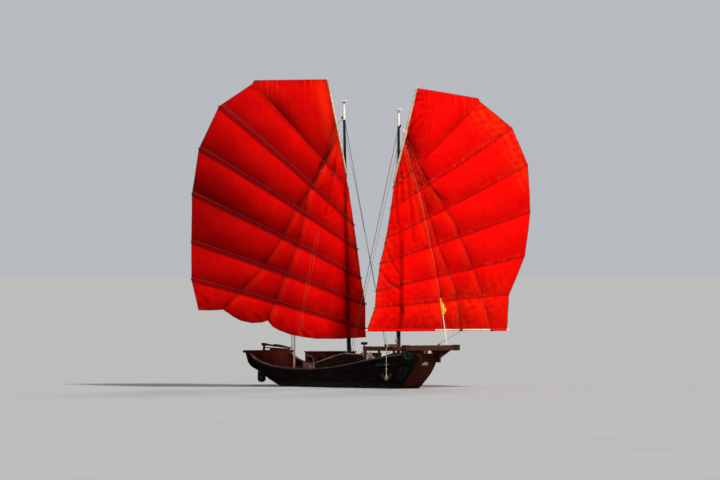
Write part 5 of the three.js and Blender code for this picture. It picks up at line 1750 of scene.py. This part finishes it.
def make_stern():
    quad = [0, 1, 2, 3]
    for side, where in ((-1, "starboard"), (1, "port")):
        points = []
        for z in np.linspace(0.70, 1.419, 22):
            x, inner = stern_at(z)[0], breadth_at(0.0, z) - 0.03
            outer = inner + 0.03 + float(np.interp(z, *zip(*WING)))
            around = ((0.002, inner), (0.002, outer), (0.052, outer), (0.052, inner))
            points += [(x + back, side * y, z) for back, y in around]
        faces = [quad, [len(points) - 4 + k for k in quad]]
        faces += [(a + k, a + (k + 1) % 4, a + 4 + (k + 1) % 4, a + 4 + k)
                  for a in range(0, len(points) - 4, 4) for k in quad]
        even(piece("stern_wing_" + where, points, faces, DARK_WOOD, "hull", "red_brown_timber", smooth=False))
    low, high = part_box("stern_board")
    corners = [(0.31, high.z - 0.003), (0.31, 1.790), (0.60, 1.765), (1.13, high.z - 0.003)]
    points = [(x, y, z) for x in (low.x + 0.003, high.x - 0.003) for y, z in corners]
    faces = [quad, [4, 5, 6, 7]] + [(k, (k + 1) % 4, 4 + (k + 1) % 4, 4 + k) for k in quad]
    even(piece("stern_board_top", points, faces, DARK_WOOD, "hull", "red_brown_timber", smooth=False))


make_stern()


# Rudder irons and the lamp's fittings

def make_irons():
    low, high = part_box("rudder_stock")
    x = (low.x + high.x) / 2
    straps = [block((x - 0.40, side * 0.028, z - 0.022), (x + 0.02, side * 0.036, z + 0.022), 0.003)
              for z in (0.34, 0.56, 0.78) for side in (-1, 1)]
    joined("rudder_straps", straps, STEEL, "anchor_iron", "rudder", smooth=False)
    grip = turns_round((-4.56, 0, 1.642), (1, 0, -0.075), 0.030, 0.006, 9, 0.12)
    piece("tiller_grip", *grip, DARK_ROPE, "rudder", "dark_rope")
    low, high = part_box("lamp_post")
    out, top = 0.006, high.z
    lid = (low.x - out, low.y - out, top - 0.028), (high.x + out, high.y + out, top + 0.004)
    straps = [block(*lid, 0.004)]
    for part in (0.2, 0.8):
        x = low.x + (high.x - low.x) * part
        start, end = (x - 0.012, low.y - 0.008, top - 0.11), (x + 0.012, high.y + 0.008, top - 0.02)
        straps.append(block(start, end, 0.003))
    joined("lamp_straps", straps, STEEL, "anchor_iron", smooth=False)


make_irons()


# The frame's own nodes: eased edges and a finish for each

FINISHES = (
    (TARRED, "keel wale_starboard wale_port rudder_stock rudder_blade"),
    (DARK_WOOD, "tiller cuddy_walls cuddy_roof stern_board"),
    (DECK_SEAMS, "main_deck fore_deck"),
    (STAVES, "deck_step_bulkhead"),
    (WASH_WOOD, "washboard_starboard washboard_port"),
    (RAIL, "washboard_cap_starboard washboard_cap_port"),
    (RED_WOOD, "cuddy_door mooring_post_starboard mooring_post_port"),
    (DECK, "main_partner fore_partner"),
    (CAP_WOOD, "gunwale_cap_starboard gunwale_cap_port rudder_yoke rudder_bracket"),
    (INNER, "stern_beam"),
    (BEAM_WOOD, "bow_beam"),
    (RAIL_PLANK, "fore_rail_starboard fore_rail_port anchor_beam"),
    (BLACK, "lamp_post"),
    (WHITE, "flag_staff"),
    (DARK_ROPE, "main_stay fore_stay"),
)
ROUND = ("rudder_stock", "flag_staff", "main_stay", "fore_stay")
# Below this height the bow beam's solid is its knees
KNEES_BELOW = 1.6
for finish, names in FINISHES:
    for name in names.split():
        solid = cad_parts[name]
        solid.data.materials.clear()
        solid.data.materials.append(finish)
        weld = solid.modifiers.new("weld", "WELD")
        weld.merge_threshold = 0.0002
        if name == "bow_beam":
            solid.data.materials.append(PANEL_KNEES)
            for face in solid.data.polygons:
                face.material_index = int((solid.matrix_world @ face.center).z < KNEES_BELOW)
        if name not in ROUND:
            ease = solid.modifiers.new("eased_edges", "BEVEL")
            ease.width = 0.008
            ease.segments = 2
            ease.limit_method = "ANGLE"
            ease.angle_limit = math.radians(32)
